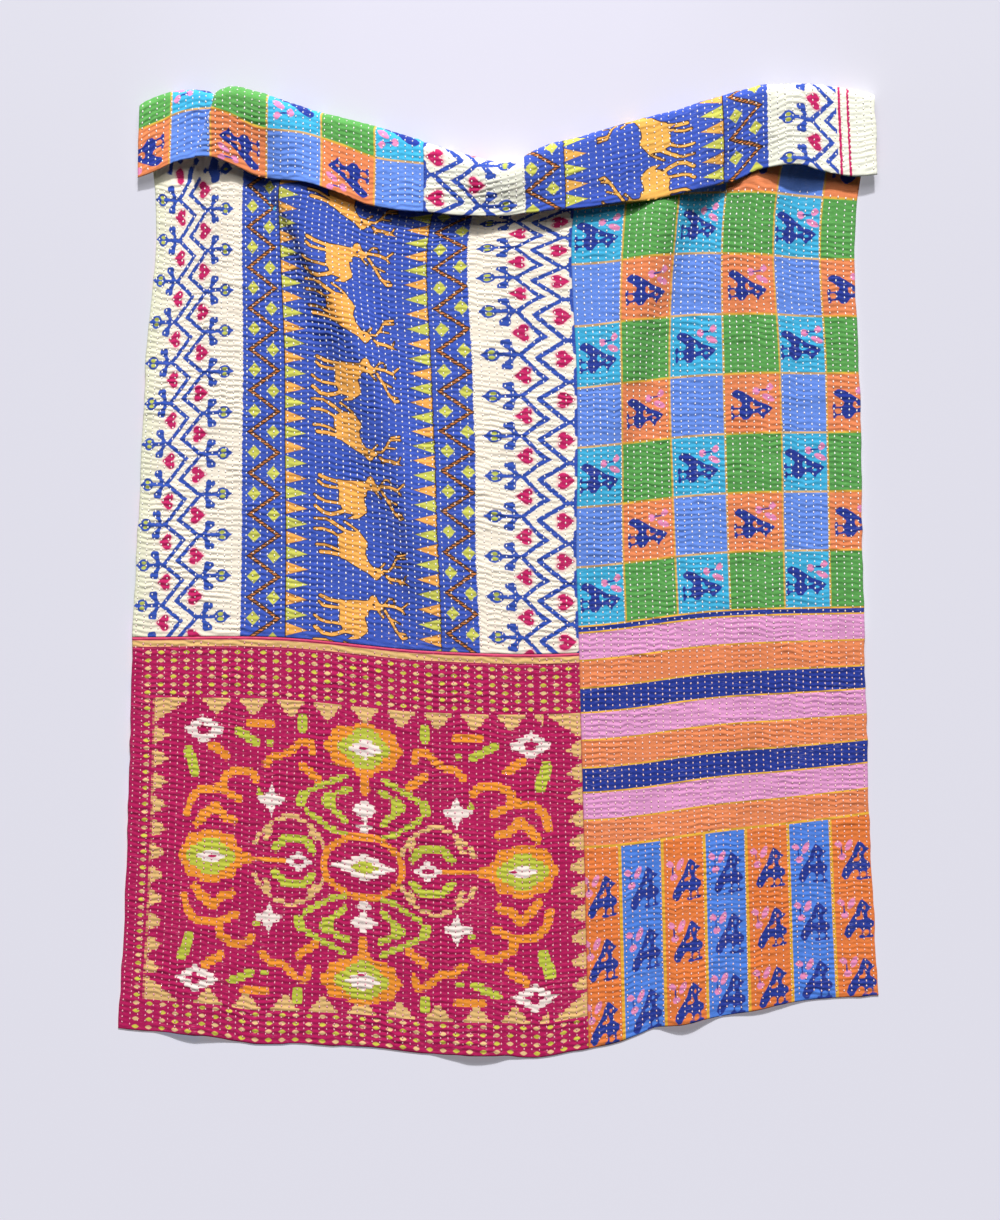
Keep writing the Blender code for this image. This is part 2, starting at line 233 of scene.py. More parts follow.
def lay_out(across, run):
    """The laid quilt's middle surface: body, half circle of the turn, and flap. It gives a grid
    of points, a row for each value of run."""
    run = np.clip(np.asarray(run, float), 0, 3)[:, None]
    fine = np.linspace(0, CLOTH_WIDTH, FINE_STEPS + 1)
    body = np.clip(run, 0, 1)
    turn = np.clip(run - 1, 0, 1)
    flap = np.clip(run - 2, 0, 1)
    radius = turn_radius(fine)

    # Places along Y
    turn_centre = smooth(fine, *zip(*TOP_LINE)) - radius
    steps = np.linspace(0, CLOTH_WIDTH, STEPS_Y)
    lines = [smooth(fine, *zip(*HEM_LINE))]
    lines += [smooth(fine, steps, row[1:]) for row in PLACES_Y]
    lines.append(turn_centre)
    knots = [0.0] + [row[0] / BODY_LENGTH for row in PLACES_Y] + [1.0]
    y = smooth(body[:, 0], knots, np.array(lines))
    y = y + radius * np.sin(turn * np.pi)
    reach_back = turn_centre - smooth(fine, *zip(*FLAP_LINE))
    y = y - flap * reach_back

    # Heights
    below = np.where(run > 2, 1 - flap * reach_back / BODY_LENGTH, body)
    over = radius * (1 - np.cos(turn * np.pi))
    over = np.where(run > 2, 2 * radius * (1 - ease(flap)) + flap_lift(fine) * ease(flap), over)
    rise = pinch(fine, flap) * (1 - np.cos(turn * np.pi)) / 2
    z = LYING + fold_height(fine, below) + over + rise + drag(fine, body) * (run <= 1)
    z = z + lifted(fine) * ease(flap)

    # Places along X
    slope = np.clip(np.gradient(z, fine, axis=1), -STEEPEST, STEEPEST)
    cover = np.sqrt(1 - slope**2)
    reach = np.cumsum((cover[:, 1:] + cover[:, :-1]) / 2, axis=1)
    reach = np.concatenate([np.zeros((len(run), 1)), reach], axis=1) / reach[:, -1:]
    table = np.array(PLACES_X)
    places = smooth(body[:, 0], table[:, 0] / BODY_LENGTH, table[:, 1:])
    shares = smooth((reach * CLOTH_WIDTH).ravel(), ACROSS_X, np.eye(len(ACROSS_X)))
    x = np.einsum("rnk,rk->rn", shares.reshape(*reach.shape, -1), places)
    x = x + flap * (FLAP_SPREAD[0] * (1 - reach) + FLAP_SPREAD[1] * reach)

    # From the even fine steps to the distances asked for
    place = np.clip(np.asarray(across) / CLOTH_WIDTH, 0, 1) * FINE_STEPS
    low = np.minimum(place.astype(int), FINE_STEPS - 1)
    part = place - low
    grid = np.stack([x, y, z], axis=2)
    return grid[:, low] * (1 - part)[:, None] + grid[:, low + 1] * part[:, None]


def unit(vectors):
    return vectors / np.linalg.norm(vectors, axis=-1, keepdims=True)


def lay_out_normals(across, run):
    """Unit normals of the laid-out sheet on the front's side, from small steps about each point."""
    across, run = np.asarray(across, float), np.asarray(run, float)
    along_x = lay_out(across + NORMAL_STEP, run) - lay_out(across - NORMAL_STEP, run)
    along_run = lay_out(across, run + NORMAL_STEP) - lay_out(across, run - NORMAL_STEP)
    return unit(np.cross(along_x, along_run))


def flat_length(across, run):
    """Flat metres from the hem at each point: even along the body, and counted back from the
    free edge on the flap and the turn. Near the turn's start the body takes up the difference."""
    run = np.asarray(run, float)[:, None]
    reach = flap_reach(across)
    half_turn = np.pi * turn_radius(across)
    body = np.clip(run, 0, 1)
    missing = CLOTH_LENGTH - reach - half_turn - BODY_LENGTH
    on_body = BODY_LENGTH * body + missing * np.clip((body - 0.93) / 0.07, 0, 1) ** 2
    on_turn = CLOTH_LENGTH - reach - half_turn * (2 - run)
    on_flap = CLOTH_LENGTH - reach * (3 - run)
    return np.where(run <= 1, on_body, np.where(run <= 2, on_turn, on_flap))


def soft_noise(x, y, seed):
    """Smooth bumps between -1 and 1: cubic blends of random values at whole numbers."""
    table = np.random.default_rng(seed).uniform(-1, 1, (256, 256))
    x0, y0 = np.floor(x).astype(int), np.floor(y).astype(int)
    tx, ty = ease(x - x0), ease(y - y0)
    x0, y0, x1, y1 = x0 % 256, y0 % 256, (x0 + 1) % 256, (y0 + 1) % 256
    low = table[x0, y0] * (1 - tx) + table[x1, y0] * tx
    high = table[x0, y1] * (1 - tx) + table[x1, y1] * tx
    return low * (1 - ty) + high * ty


def stitch_phase(across):
    """How far each row's stitches are shifted along it, as a share of the pitch. Neighbouring
    rows drift by a little, so that their stitches and puckers nearly line up."""
    steps = np.random.default_rng(11).normal(0, 0.16, 160)
    drift = np.cumsum(steps) + 0.12 * np.arange(160)
    return np.interp(across / 0.0126, np.arange(160), drift)


# Panels


def pucker_height(across, along, row_place):
    """Relief of the stitched cloth: a shallow channel under each row of stitches, and ridges
    across the rows, with a narrow valley at every stitch: 2 |cos(pi t)| - 1 for t in pitches,
    stronger in some places than in others, and uneven from cell to cell."""
    channel = -CHANNEL * np.exp(-((row_place * 4 / 1.3) ** 2))
    bend = 0.30 * soft_noise(across / 0.015, along / 0.022, 4)
    t = along / STITCH_PITCH + stitch_phase(across) + bend
    ridge = 2 * np.sqrt(np.cos(np.pi * t) ** 2 + 0.03) - 1.3
    strength = 0.85 + 0.55 * soft_noise(across / 0.036, along / 0.028, 1)
    uneven = soft_noise(across / 0.014, along / 0.0088, 2)
    broad = soft_noise(across / 0.060, along / 0.026, 3)
    return channel + PUCKER * (ridge * strength + 0.6 * uneven + 0.75 * broad)


def edge_wobble(along, seed):
    """A hand-sewn edge's small waves."""
    return 0.0011 * soft_noise(along / 0.021, 0 * along, seed) + 0.0012 * soft_noise(
        along / 0.075, 0 * along, seed + 1
    )


def sample_rows(first, last, per_stitch, flap_side):
    """Values of the run for a panel's rows, close where the face shows, and wide where it lies
    hidden. The count of steps on each stretch is a multiple of eight."""
    shown_end = 1.42 / BODY_LENGTH
    if flap_side:
        stretches = [
            (first, 1.0, 0.0125), (1.0, 1.45, 0.0060), (1.45, 2.0, 0.0020), (2.0, 3.0, 0.00235),
        ]
    else:
        fine_step = STITCH_PITCH / per_stitch
        stretches = [
            (first, shown_end, fine_step), (shown_end, 1.0, 0.016), (1.0, 2.0, 0.005), (2.0, 3.0, 0.015),
        ]
    rows = []
    for start, end, step in stretches:
        start, end = max(start, first), min(end, last)
        if end <= start:
            continue
        middle = (start + end) / 2
        metres = BODY_LENGTH if middle < 1 else 0.042 if middle < 2 else 0.112
        count = max(1, round((end - start) * metres / step / 8)) * 8
        rows.append(np.linspace(start, end, count + 1)[:-1])
    return np.concatenate([*rows, [last]])


def mesh_object(name, points, quads, triangles, material):
    """A mesh object at the origin from arrays of points, four-sided and three-sided faces."""
    mesh = bpy.data.meshes.new(name)
    corners = np.concatenate([quads.ravel(), triangles.ravel()]).astype(np.int32)
    starts = np.concatenate([
        np.arange(len(quads)) * 4,
        len(quads) * 4 + np.arange(len(triangles)) * 3,
    ]).astype(np.int32)
    mesh.vertices.add(len(points))
    mesh.vertices.foreach_set("co", points.astype(np.float32).ravel())
    mesh.loops.add(len(corners))
    mesh.loops.foreach_set("vertex_index", corners)
    mesh.polygons.add(len(starts))
    mesh.polygons.foreach_set("loop_start", starts)
    mesh.update(calc_edges=True)
    mesh.validate()
    mesh.shade_smooth()
    mesh.materials.append(material)
    piece = bpy.data.objects.new(name, mesh)
    bpy.context.scene.collection.objects.link(piece)
    return piece


def grid_quads(index):
    return np.stack([index[:-1, :-1], index[:-1, 1:], index[1:, 1:], index[1:, :-1]], -1).reshape(-1, 4)


def rim_strip(fine, kept_places, coarse):
    """Triangles between an edge with many points and its fellow with fewer. Each short edge
    joins the nearest kept point, and a triangle fills in where that point changes."""
    middles = np.arange(len(fine) - 1) + 0.5
    nearest = np.abs(middles[:, None] - kept_places[None] - 0.01).argmin(1)
    near = coarse[nearest]
    fans = np.stack([fine[:-1], near, fine[1:]], 1)
    change = np.nonzero(np.diff(nearest))[0]
    fill = np.stack([fine[change + 1], near[change], near[change + 1]], 1)
    return np.concatenate([fans, fill])


def thinned(places, step, keep):
    """Indexes of the first place in each stretch of this step, of all places where keep holds,
    and of the last place."""
    first = np.unique(np.floor((places - places[0]) / step), return_index=True)[1]
    return np.unique(np.concatenate([first, np.nonzero(keep)[0], [len(places) - 1]]))


def closed_cloth(upper, lower, kept_rows, kept_columns):
    """Points and faces of the closed cloth between a fine outer grid and a sparse inner one."""
    rows, columns = upper.shape[:2]
    outer = np.arange(rows * columns).reshape(rows, columns)
    inner = rows * columns + np.arange(lower.shape[0] * lower.shape[1]).reshape(lower.shape[:2])
    rims = [
        rim_strip(outer[0], kept_columns, inner[0]),
        rim_strip(outer[:, -1], kept_rows, inner[:, -1]),
        rim_strip(outer[-1], kept_columns, inner[-1])[:, ::-1],
        rim_strip(outer[:, 0], kept_rows, inner[:, 0])[:, ::-1],
    ]
    points = np.concatenate([upper.reshape(-1, 3), lower.reshape(-1, 3)])
    quads = np.concatenate([grid_quads(outer), grid_quads(inner)[:, ::-1]])
    return points, quads, np.concatenate(rims)


def put_uv(piece, across, along):
    """The cloth's own flat metres as the piece's UV map."""
    mesh = piece.data
    corners = np.empty(len(mesh.loops), np.int32)
    mesh.loops.foreach_get("vertex_index", corners)
    uv = np.stack([across[corners], along[corners]], 1)
    layer = mesh.uv_layers.new(name="cloth")
    layer.uv.foreach_set("vector", uv.astype(np.float32).ravel())


def put_field(piece, name, values):
    field = piece.data.attributes.new(name, "FLOAT", "POINT")
    field.data.foreach_set("value", values.astype(np.float32))


def make_panel(name, node, side, across, run, figures, material, per_stitch=5):
    """One panel: the laid-out sheet between its seams, moved out to its face, puckered, rounded
    at its edges and closed behind. figures gives the print's signed distances. It returns the
    grid that the stitches need."""
    cells = round((across[1] - across[0]) / 0.0126) * COLUMNS_PER_ROW
    u = np.linspace(*across, cells + 1)
    rows = sample_rows(*run, per_stitch, side < 0)
    v = flat_length(u, rows)
    middle = lay_out(u, rows)
    normal = side * lay_out_normals(u, rows)

    # How far inside the panel each point lies, in flat metres
    inside_u = np.minimum(u - across[0], across[1] - u)
    inside_v = np.minimum(v - v[0], v[-1] - v)
    inside = np.minimum(np.broadcast_to(inside_u, v.shape), inside_v)
    rounding = np.sqrt(1 - (1 - np.clip(inside / EDGE_ROUND, 0, 1)) ** 2)
    row_place = ((np.arange(cells + 1) % COLUMNS_PER_ROW) - 2) / COLUMNS_PER_ROW
    relief = pucker_height(np.broadcast_to(u, v.shape), v, row_place)
    relief = relief * np.clip(inside / 0.006, 0, 1)
    if side < 0:
        relief = np.where(rows[:, None] < 1.2, np.minimum(relief - PUCKER, 0), relief)
    lift = PLY_GAP / 2 + PLY * rounding + relief
    lift = np.maximum(lift, PLY_GAP / 2 + 0.00025)
    upper = middle + lift[..., None] * normal

    # Small waves along the quilt's outer edges
    near_left = np.exp(-u / 0.012)
    near_right = np.exp(-(CLOTH_WIDTH - u) / 0.012)
    sway = edge_wobble(v, 21) * near_left + edge_wobble(v, 31) * near_right
    near_hem = np.exp(-v / 0.012)
    near_edge = np.exp(-(CLOTH_LENGTH - v) / 0.012) * (rows[:, None] > 2)
    wide = np.broadcast_to(u, v.shape)
    hem_sway = edge_wobble(wide, 41) * near_hem + edge_wobble(wide, 51) * near_edge
    shift = np.stack([sway, hem_sway, 0 * sway], -1)
    upper = upper + shift

    on_turn = (rows > 0.985) & (rows < 2.02)
    near_pinch = (u > 0.090) & (u < 0.165)
    kept_rows = thinned(v.mean(1), INNER_STEP, on_turn)
    kept_columns = thinned(u, INNER_STEP, near_pinch)
    kept = np.ix_(kept_rows, kept_columns)
    lower = middle[kept] + PLY_GAP / 2 * normal[kept] + shift[kept]
    points, quads, triangles = closed_cloth(upper, lower, kept_rows, kept_columns)
    if side < 0:
        quads, triangles = quads[:, ::-1], triangles[:, ::-1]
    piece = mesh_object(name, points, quads, triangles, material)

    a_grid = np.broadcast_to(u, v.shape)
    a = np.concatenate([a_grid.ravel(), a_grid[kept].ravel()])
    b = np.concatenate([v.ravel(), v[kept].ravel()])
    if side < 0:
        a = CLOTH_WIDTH - a
    put_uv(piece, a, b)
    for field, values in figures(a, b, side < 0).items():
        put_field(piece, field, values)
    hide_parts(node)
    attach(piece, "root")
    return piece, dict(u=u, v=v, rows=rows, upper=upper, normal=normal, side=side)


def make_stitches(name, grid, shown, material):
    """Running stitches on a panel: one long bead of thread to a pitch on every fourth column,
    its ends sunk in the cloth. shown is the stretch of the run that gets them."""
    u, v, rows, upper, normal = (grid[k] for k in ("u", "v", "rows", "upper", "normal"))
    rng = np.random.default_rng(5)
    inside = (rows >= shown[0]) & (rows <= shown[1])
    stretch = v[inside]
    beads = []
    for column in range(2, len(u) - 1, COLUMNS_PER_ROW):
        line = stretch[:, column]
        first = line[0] + 0.004
        phase = stitch_phase(u[column])
        last = line[-1] - 0.004
        k = np.arange(np.ceil(first / STITCH_PITCH + phase), np.floor(last / STITCH_PITCH + phase))
        centre = (k - phase + 0.5) * STITCH_PITCH + rng.normal(0, 0.0003, len(k))
        half = STITCH_LENGTH / 2 * rng.uniform(0.82, 1.12, len(k))
        ends = []
        for place in (centre - half, centre, centre + half):
            spot = [np.interp(place, line, upper[inside][:, column, i]) for i in range(3)]
            facing = [np.interp(place, line, normal[inside][:, column, i]) for i in range(3)]
            ends.append((np.stack(spot, 1), unit(np.stack(facing, 1))))
        (start, n0), (mid, n1), (end, n2) = ends
        along = unit(end - start)
        sideways = np.cross(along, n1)
        lean = rng.normal(0, 0.00022, (len(k), 1))
        start = start + sideways * lean - n0 * 0.0003
        end = end - sideways * lean - n2 * 0.0003
        mid = mid + n1 * 0.0002
        width = STITCH_HALF_WIDTH * rng.uniform(0.85, 1.15, (len(k), 1))
        beads.append(np.stack([
            start, mid + sideways * width, mid + n1 * STITCH_RISE, mid - sideways * width,
            mid - n1 * 0.0004, end,
        ], 1))
    beads = np.concatenate(beads)
    points = beads.reshape(-1, 3)
    faces = np.array([
        (0, 1, 2), (0, 2, 3), (0, 3, 4), (0, 4, 1), (5, 2, 1), (5, 3, 2), (5, 4, 3), (5, 1, 4),
    ])
    triangles = (np.arange(len(beads))[:, None, None] * 6 + faces[None]).reshape(-1, 3)
    piece = mesh_object(name, points, np.empty((0, 4), int), triangles, material)
    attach(piece, "root")
    return piece


# Figures as signed distances, in metres: below zero inside


def stroke(p, q, points, half_width):
    """A stroke along straight stretches between points: distance to the nearest, less half its
    width."""
    nearest = np.full(p.shape, np.inf)
    for (x0, y0), (x1, y1) in zip(points[:-1], points[1:]):
        dx, dy = x1 - x0, y1 - y0
        t = np.clip(((p - x0) * dx + (q - y0) * dy) / (dx * dx + dy * dy), 0, 1)
        nearest = np.minimum(nearest, np.hypot(p - x0 - t * dx, q - y0 - t * dy))
    return nearest - half_width


def oval(p, q, centre, radii, turn=0.0):
    """An oval's near distance: how far its scaled radius is past one, times its small radius."""
    c, s = np.cos(turn), np.sin(turn)
    x, y = p - centre[0], q - centre[1]
    return (np.hypot((x * c + y * s) / radii[0], (y * c - x * s) / radii[1]) - 1) * min(radii)


def polygon(p, q, corners):
    """A closed outline: distance to its nearest side, below zero inside by the even-odd rule."""
    nearest = stroke(p, q, [*corners, corners[0]], 0)
    inside = np.zeros(p.shape, bool)
    for (x0, y0), (x1, y1) in zip(corners, [*corners[1:], corners[0]]):
        spans = (y0 > q) != (y1 > q)
        crossing = x0 + (q - y0) * (x1 - x0) / (y1 - y0 if y1 != y0 else 1e-9)
        inside ^= spans & (p < crossing)
    return np.where(inside, -nearest, nearest)


def lowest(*fields):
    return np.minimum.reduce(fields)


def near_repeat(b, centre, pitch):
    """Distance along the repeat from the nearest copy of centre."""
    return (b - centre + pitch / 2) % pitch - pitch / 2


def figures_of_deer_cloth(a, b, reverse):
    """The deer, and the vine with its hearts and buds, on both cream strips."""
    b = b - CROSS_SEAM
    mm = 1000.0
    left = a < 0.4
    printed, drawn = (-20, 16, 66, 94, 161, 181), (22, 50, 84, 112, 172, 190)
    from_seam = np.interp((FRONT_SEAM - a) * mm, printed, drawn)
    gathered = 0.30 * np.clip(b - 0.576, 0, VINE_PITCH / 0.30)
    from_edge = np.where(left, a * mm, from_seam)
    along = (b + np.where(left, 0, 0.005 + gathered)) * mm
    return {"deer": deer_row(a * mm, b * mm) / mm, **vine(from_edge, along, mm)}


# The two deer of a pair, in millimetres: along their height from the feet's side, and away from
# the line between their tails. Outline, eye, and limbs with their half widths.
UPPER_DEER = (
    (
        (45, 53), (45, 64), (53, 63), (71, 65), (88, 66), (97, 67), (100, 74), (105, 77), (110, 75),
        (114, 66), (123, 60), (123, 55), (115, 52), (99, 53), (96, 48), (96, 42), (90, 40), (91, 33),
        (95, 22), (95, 15), (85, 7), (78, 2), (59, -1), (64, 3), (73, 8), (62, 9), (52, 10), (50, 18),
        (45, 29), (46, 43),
    ),
    (105.5, 61),
    (
        (3.0, ((11, 67), (26, 62), (48, 59))),
        (2.4, ((9, 57), (17, 51), (28, 50), (46, 50))),
        (2.2, ((1, 34), (10, 28), (21, 25), (50, 24))),
        (3.0, ((2, 15), (16, 6), (30, 4), (44, 8), (57, 14))),
        (1.8, ((114, 51), (123, 42))),
        (2.5, ((124, 62), (142, 62), (156, 58))),
        (1.6, ((168, 69), (156, 58), (162, 51))),
        (1.2, ((126, 66), (133, 74), (140, 74), (144, 68))),
        (2.3, ((126, 53), (138, 36), (147, 21), (158, 10), (165, 12))),
        (1.5, ((149, 19), (163, 17))),
        (1.4, ((138, 40), (154, 34))),
    ),
)
LOWER_DEER = (
    (
        (58, 18), (73, 19), (78, 14), (83, 21), (89, 28), (94, 34), (94, 40), (90, 46), (90, 54),
        (95, 66), (103, 74), (115, 75), (124, 83), (116, 88), (114, 92), (108, 95), (101, 90),
        (97, 86), (71, 75), (55, 67), (46, 65), (46, 51), (41, 44), (42, 33), (37, 27), (49, 24),
    ),
    (107.5, 81),
    (
        (1.9, ((0, 4), (21, 3), (39, 10))),
        (3.0, ((30, 6), (57, 20))),
        (2.2, ((0, 21), (17, 20), (30, 23), (43, 29))),
        (2.1, ((3, 47), (16, 46), (28, 48), (48, 54))),
        (3.0, ((10, 58), (26, 58), (48, 60))),
        (1.9, ((54, 4), (65, 9), (78, 17))),
        (1.6, ((117, 73), (124, 66))),
        (1.7, ((122, 78), (131, 78), (140, 68), (147, 55), (165, 53))),
        (1.6, ((149, 51), (165, 47))),
        (1.3, ((140, 69), (156, 69))),
        (2.6, ((128, 87), (134, 91), (147, 91), (160, 94))),
        (1.2, ((165, 83), (160, 94), (176, 102))),
        (1.2, ((131, 95), (140, 101))),
        (1.2, ((151, 96), (161, 102))),
    ),
)


def deer_row(a, b):
    """Pairs of deer, tail to tail, turned so that their feet point to the left. Millimetres."""
    pitch = DEER_PITCH * 1000
    pair = np.round((b - 6.5) / pitch)
    along = b - 6.5 - pair * pitch
    h = a - 318 - 1.5 * np.sin(pair * 1.7)
    f = np.abs(along) - 0.8
    distance = []
    for outline, eye, limbs in (UPPER_DEER, LOWER_DEER):
        trunk = np.maximum(polygon(h, f, outline), 2.4 - np.hypot(h - eye[0], f - eye[1]))
        distance.append(lowest(trunk, *[stroke(h, f, points, half) for half, points in limbs]))
    return np.where(along > 0, distance[0], distance[1])


def zigzag(b, low_at, high_at, low, high, pitch):
    """Place across of a slanting zigzag, and the cosine that turns an offset into a distance."""
    rise = (high_at - low_at) % pitch
    t = (b - low_at) % pitch
    going_up = t < rise
    down = high - (high - low) * (t - rise) / (pitch - rise)
    x = np.where(going_up, low + (high - low) * t / rise, down)
    slope = np.where(going_up, (high - low) / rise, (high - low) / (pitch - rise))
    return x, 1 / np.sqrt(1 + slope**2)


LEAF = (
    (4, 0), (5, 2.5), (11, 11), (11, 21), (15, 24), (27, 22), (28, 16), (22, 11), (17, 8), (14, 3), (14, 0),
)


def vine(a, b, mm):
    """A double zigzag stem with hearts in its bays, and side shoots of curled leaves and a bud
    at its bends. a is from the strip's outer edge, in millimetres."""
    pitch = VINE_PITCH * 1000
    b = b + 14.4
    left, left_turn = zigzag(b, 0.0, 41.0, 50, 84, pitch)
    right, right_turn = zigzag(b, 6.9, 46.5, 75, 112, pitch)
    right_shoot = near_repeat(b, 47.5, pitch)
    left_shoot = near_repeat(b, 0.0, pitch)
    plant = [np.abs(a - left) * left_turn - 3.1, np.abs(a - right) * right_turn - 3.2]
    buds = []
    for x, y, small in ((a - 112, right_shoot, 1.0), (50 - a, left_shoot, 0.84)):
        x, y = x / small, np.abs(y)
        plant += [
            polygon(x, y, LEAF),
            stroke(x, y, ((-2, 0), (34, 0)), 2.9),
            oval(x, y, (42, 0), (11.5, 10.5)),
            polygon(x, y, ((48, -6), (60, 0), (48, 6))),
        ]
        buds.append(oval(x, y, (42, 4.2), (5.2, 3.2)))
    hearts = []
    for x, y in ((a - 106, near_repeat(b, 13.4, pitch)), (1.2 * (54 - a), near_repeat(b, 38.2, pitch))):
        y = np.abs(y)
        lobe = oval(x, y, (-2.5, 6.9), (7.8, 6.8))
        body = polygon(x, y, ((-4, -12), (-4, 12), (3, 11.5), (16.5, 0), (3, -11.5)))
        notch = stroke(x, y, ((-14, 0), (-6.5, 0)), 1.9)
        hearts.append(np.maximum(lowest(lobe, body), -notch))
    return {"plant": lowest(*plant) / mm, "bud": lowest(*buds) / mm, "heart": lowest(*hearts) / mm}


def figures_of_check_cloth(a, b, reverse):
    """A bird with a flower: turned on its side in every other check, upright in the columns."""
    a = a - FRONT_SEAM
    b = b - np.where(reverse & (b > 1.2), 0.035, 0.0)
    column = np.searchsorted(CHECK_EDGES, a)
    row = np.floor((b - CHECKS_FROM) / CHECK_HEIGHT)
    centres = np.array((0.042, 0.130, 0.223, 0.3185, 0.407, 0.494))
    x = a - centres[np.clip(column, 0, 5)]
    y = b - (CHECKS_FROM + (row + 0.5) * CHECK_HEIGHT)
    in_check = (b > CHECKS_FROM) & ((column + row) % 2 == 0)
    checks = bird(-y * 1000, x * 1000)

    strip = np.floor((a - BIRD_COLUMN_START) / BIRD_COLUMN)
    x = a - (BIRD_COLUMN_START + (strip + 0.5) * BIRD_COLUMN) - 0.002
    k = np.round((b - 0.037) / BIRD_PITCH)
    y = b - 0.037 - k * BIRD_PITCH
    in_column = (b < STRIPES_FROM) & (k < 2.5)
    columns = bird(x * 1000, y * 1000)
    far = np.full(a.shape, 20.0)
    return {
        name: np.where(in_check, checks[name], np.where(in_column, columns[name], far)) / 1000
        for name in ("bird", "flower")
    }


BIRD = (
    (-23.5, -27.5), (-20, -16), (-10, -1), (-2, 11), (2.5, 24), (8.5, 34.5), (17, 27), (21, 21), (27.5, 18),
    (22, 14), (17, 9), (17.5, 1), (23.5, -4), (28, -8), (28, -16), (22, -20), (21, -26), (15, -21),
    (8.5, -26), (5, -19), (0, -17.5), (-5, -22.5), (-9, -28), (-12, -34), (-18, -35.5),
)
BIRD_SLIT = ((-1.5, -3.5), (-1.5, 1), (6, 4), (6, 15), (9, 8), (11, 1), (7, -3.5))


def bird(x, y):
    """A standing bird with its head up and beak to the right, and a three-bell flower behind it.
    Millimetres from its middle."""
    body = np.maximum.reduce([
        polygon(x, y, BIRD), -polygon(x, y, BIRD_SLIT), -oval(x, y, (13, 17.5), (2.2, 4.0)),
    ])
    legs = lowest(
        stroke(x, y, ((8.5, -24), (8.5, -34)), 1.7),
        stroke(x, y, ((21, -24), (21, -33)), 1.7),
        stroke(x, y, ((4, -34), (10, -35)), 2.6),
        stroke(x, y, ((10, -35), (18, -35)), 1.2),
        stroke(x, y, ((18, -34), (25, -34)), 2.6),
    )
    stem = stroke(x, y, ((-21, 11), (-22, 24)), 1.5)
    flower = lowest(
        polygon(x, y, ((-27, 7), (-23, 13), (-17, 13), (-12.5, 7), (-17, 1), (-24, 1))),
        polygon(x, y, ((-34, 31), (-27, 37), (-21, 32), (-19.5, 27), (-24, 23), (-30, 26))),
        oval(x, y, (-8.5, 27), (5.2, 11.0), -0.45),
    )
    return {"bird": lowest(body, legs, stem), "flower": flower}


# The medallion field's strokes in one quarter, in millimetres from its middle: colour, half
# width, and points. The other three quarters mirror it.
FIELD_STROKES = (
    # Chevrons over and under the middle
    ("lime", 4.8, ((31, 147), (49, 138), (74, 126), (94, 115))),
    ("lime", 9.4, ((104, 106), (108, 98))),
    ("lime", 4.8, ((97, 84), (82, 75), (65, 65))),
    ("lime", 4.6, ((59, 59), (31, 51))),
    ("lime", 5.6, ((27, 125), (43, 118))),
    ("lime", 8.6, ((55, 111), (64, 104), (55, 96))),
    ("lime", 5.4, ((46, 87), (31, 72))),
    # Stem under the upper medallion
    ("orange", 8.3, ((0, 126), (0, 138))),
    # Ring round the side figure
    ("tan", 3.9, ((100, 66), (124, 74), (148, 66))),
    ("tan", 3.9, ((158, 60), (172, 46))),
    ("tan", 4.3, ((180, 40), (185, 27))),
    ("tan", 3.9, ((92, 62), (80, 50), (72, 40))),
    ("tan", 3.9, ((68, 34), (66, 28))),
    ("tan", 3.4, ((88, 48), (80, 36))),
    ("tan", 3.4, ((158, 50), (170, 32))),
    ("lime", 6.8, ((84, 20), (94, 33), (114, 38), (136, 35), (152, 20))),
    ("orange", 3.7, ((134, 0), (170, 0))),
    # Middle ring
    ("orange", 5.5, ((0, 49), (24, 48), (42, 38), (58, 25), (66, 8), (66, 0))),
    # Branching scrolls
    ("orange", 6.4, ((87, 180), (91, 196), (108, 195), (119, 185), (133, 173), (157, 169), (170, 156))),
    ("orange", 7.2, ((78, 137), (92, 147), (105, 156))),
    ("orange", 6.8, (
        (186, 130), (196, 141), (222, 143), (242, 131), (245, 114), (275, 109), (291, 93), (297, 68),
    )),
    ("orange", 6.5, ((243, 110), (215, 95))),
    ("orange", 7.0, ((222, 60), (242, 67), (254, 84), (267, 70), (279, 52))),
    # Loose strokes
    ("orange", 6.7, ((160, 220), (198, 221))),
    ("orange", 7.4, ((238, 166), (260, 183))),
    ("lime", 6.8, ((186, 189), (220, 208))),
    ("lime", 9.3, ((106, 219), (106, 232))),
    ("lime", 9.1, ((285, 139), (296, 172))),
    ("lime", 3.9, ((160, 189), (167, 189))),
    ("lime", 5.0, ((180, 108), (183, 108))),
)


# The print is wider to the right: places across it as printed and as drawn
PRINTED_AT = (0.0, 0.124, 0.147, 0.248, 0.336, 0.409, 0.472, 0.567, 0.680, 0.702, 0.790)
DRAWN_AT = (0.0, 0.132, 0.147, 0.246, 0.338, 0.405, 0.470, 0.565, 0.663, 0.680, 0.760)


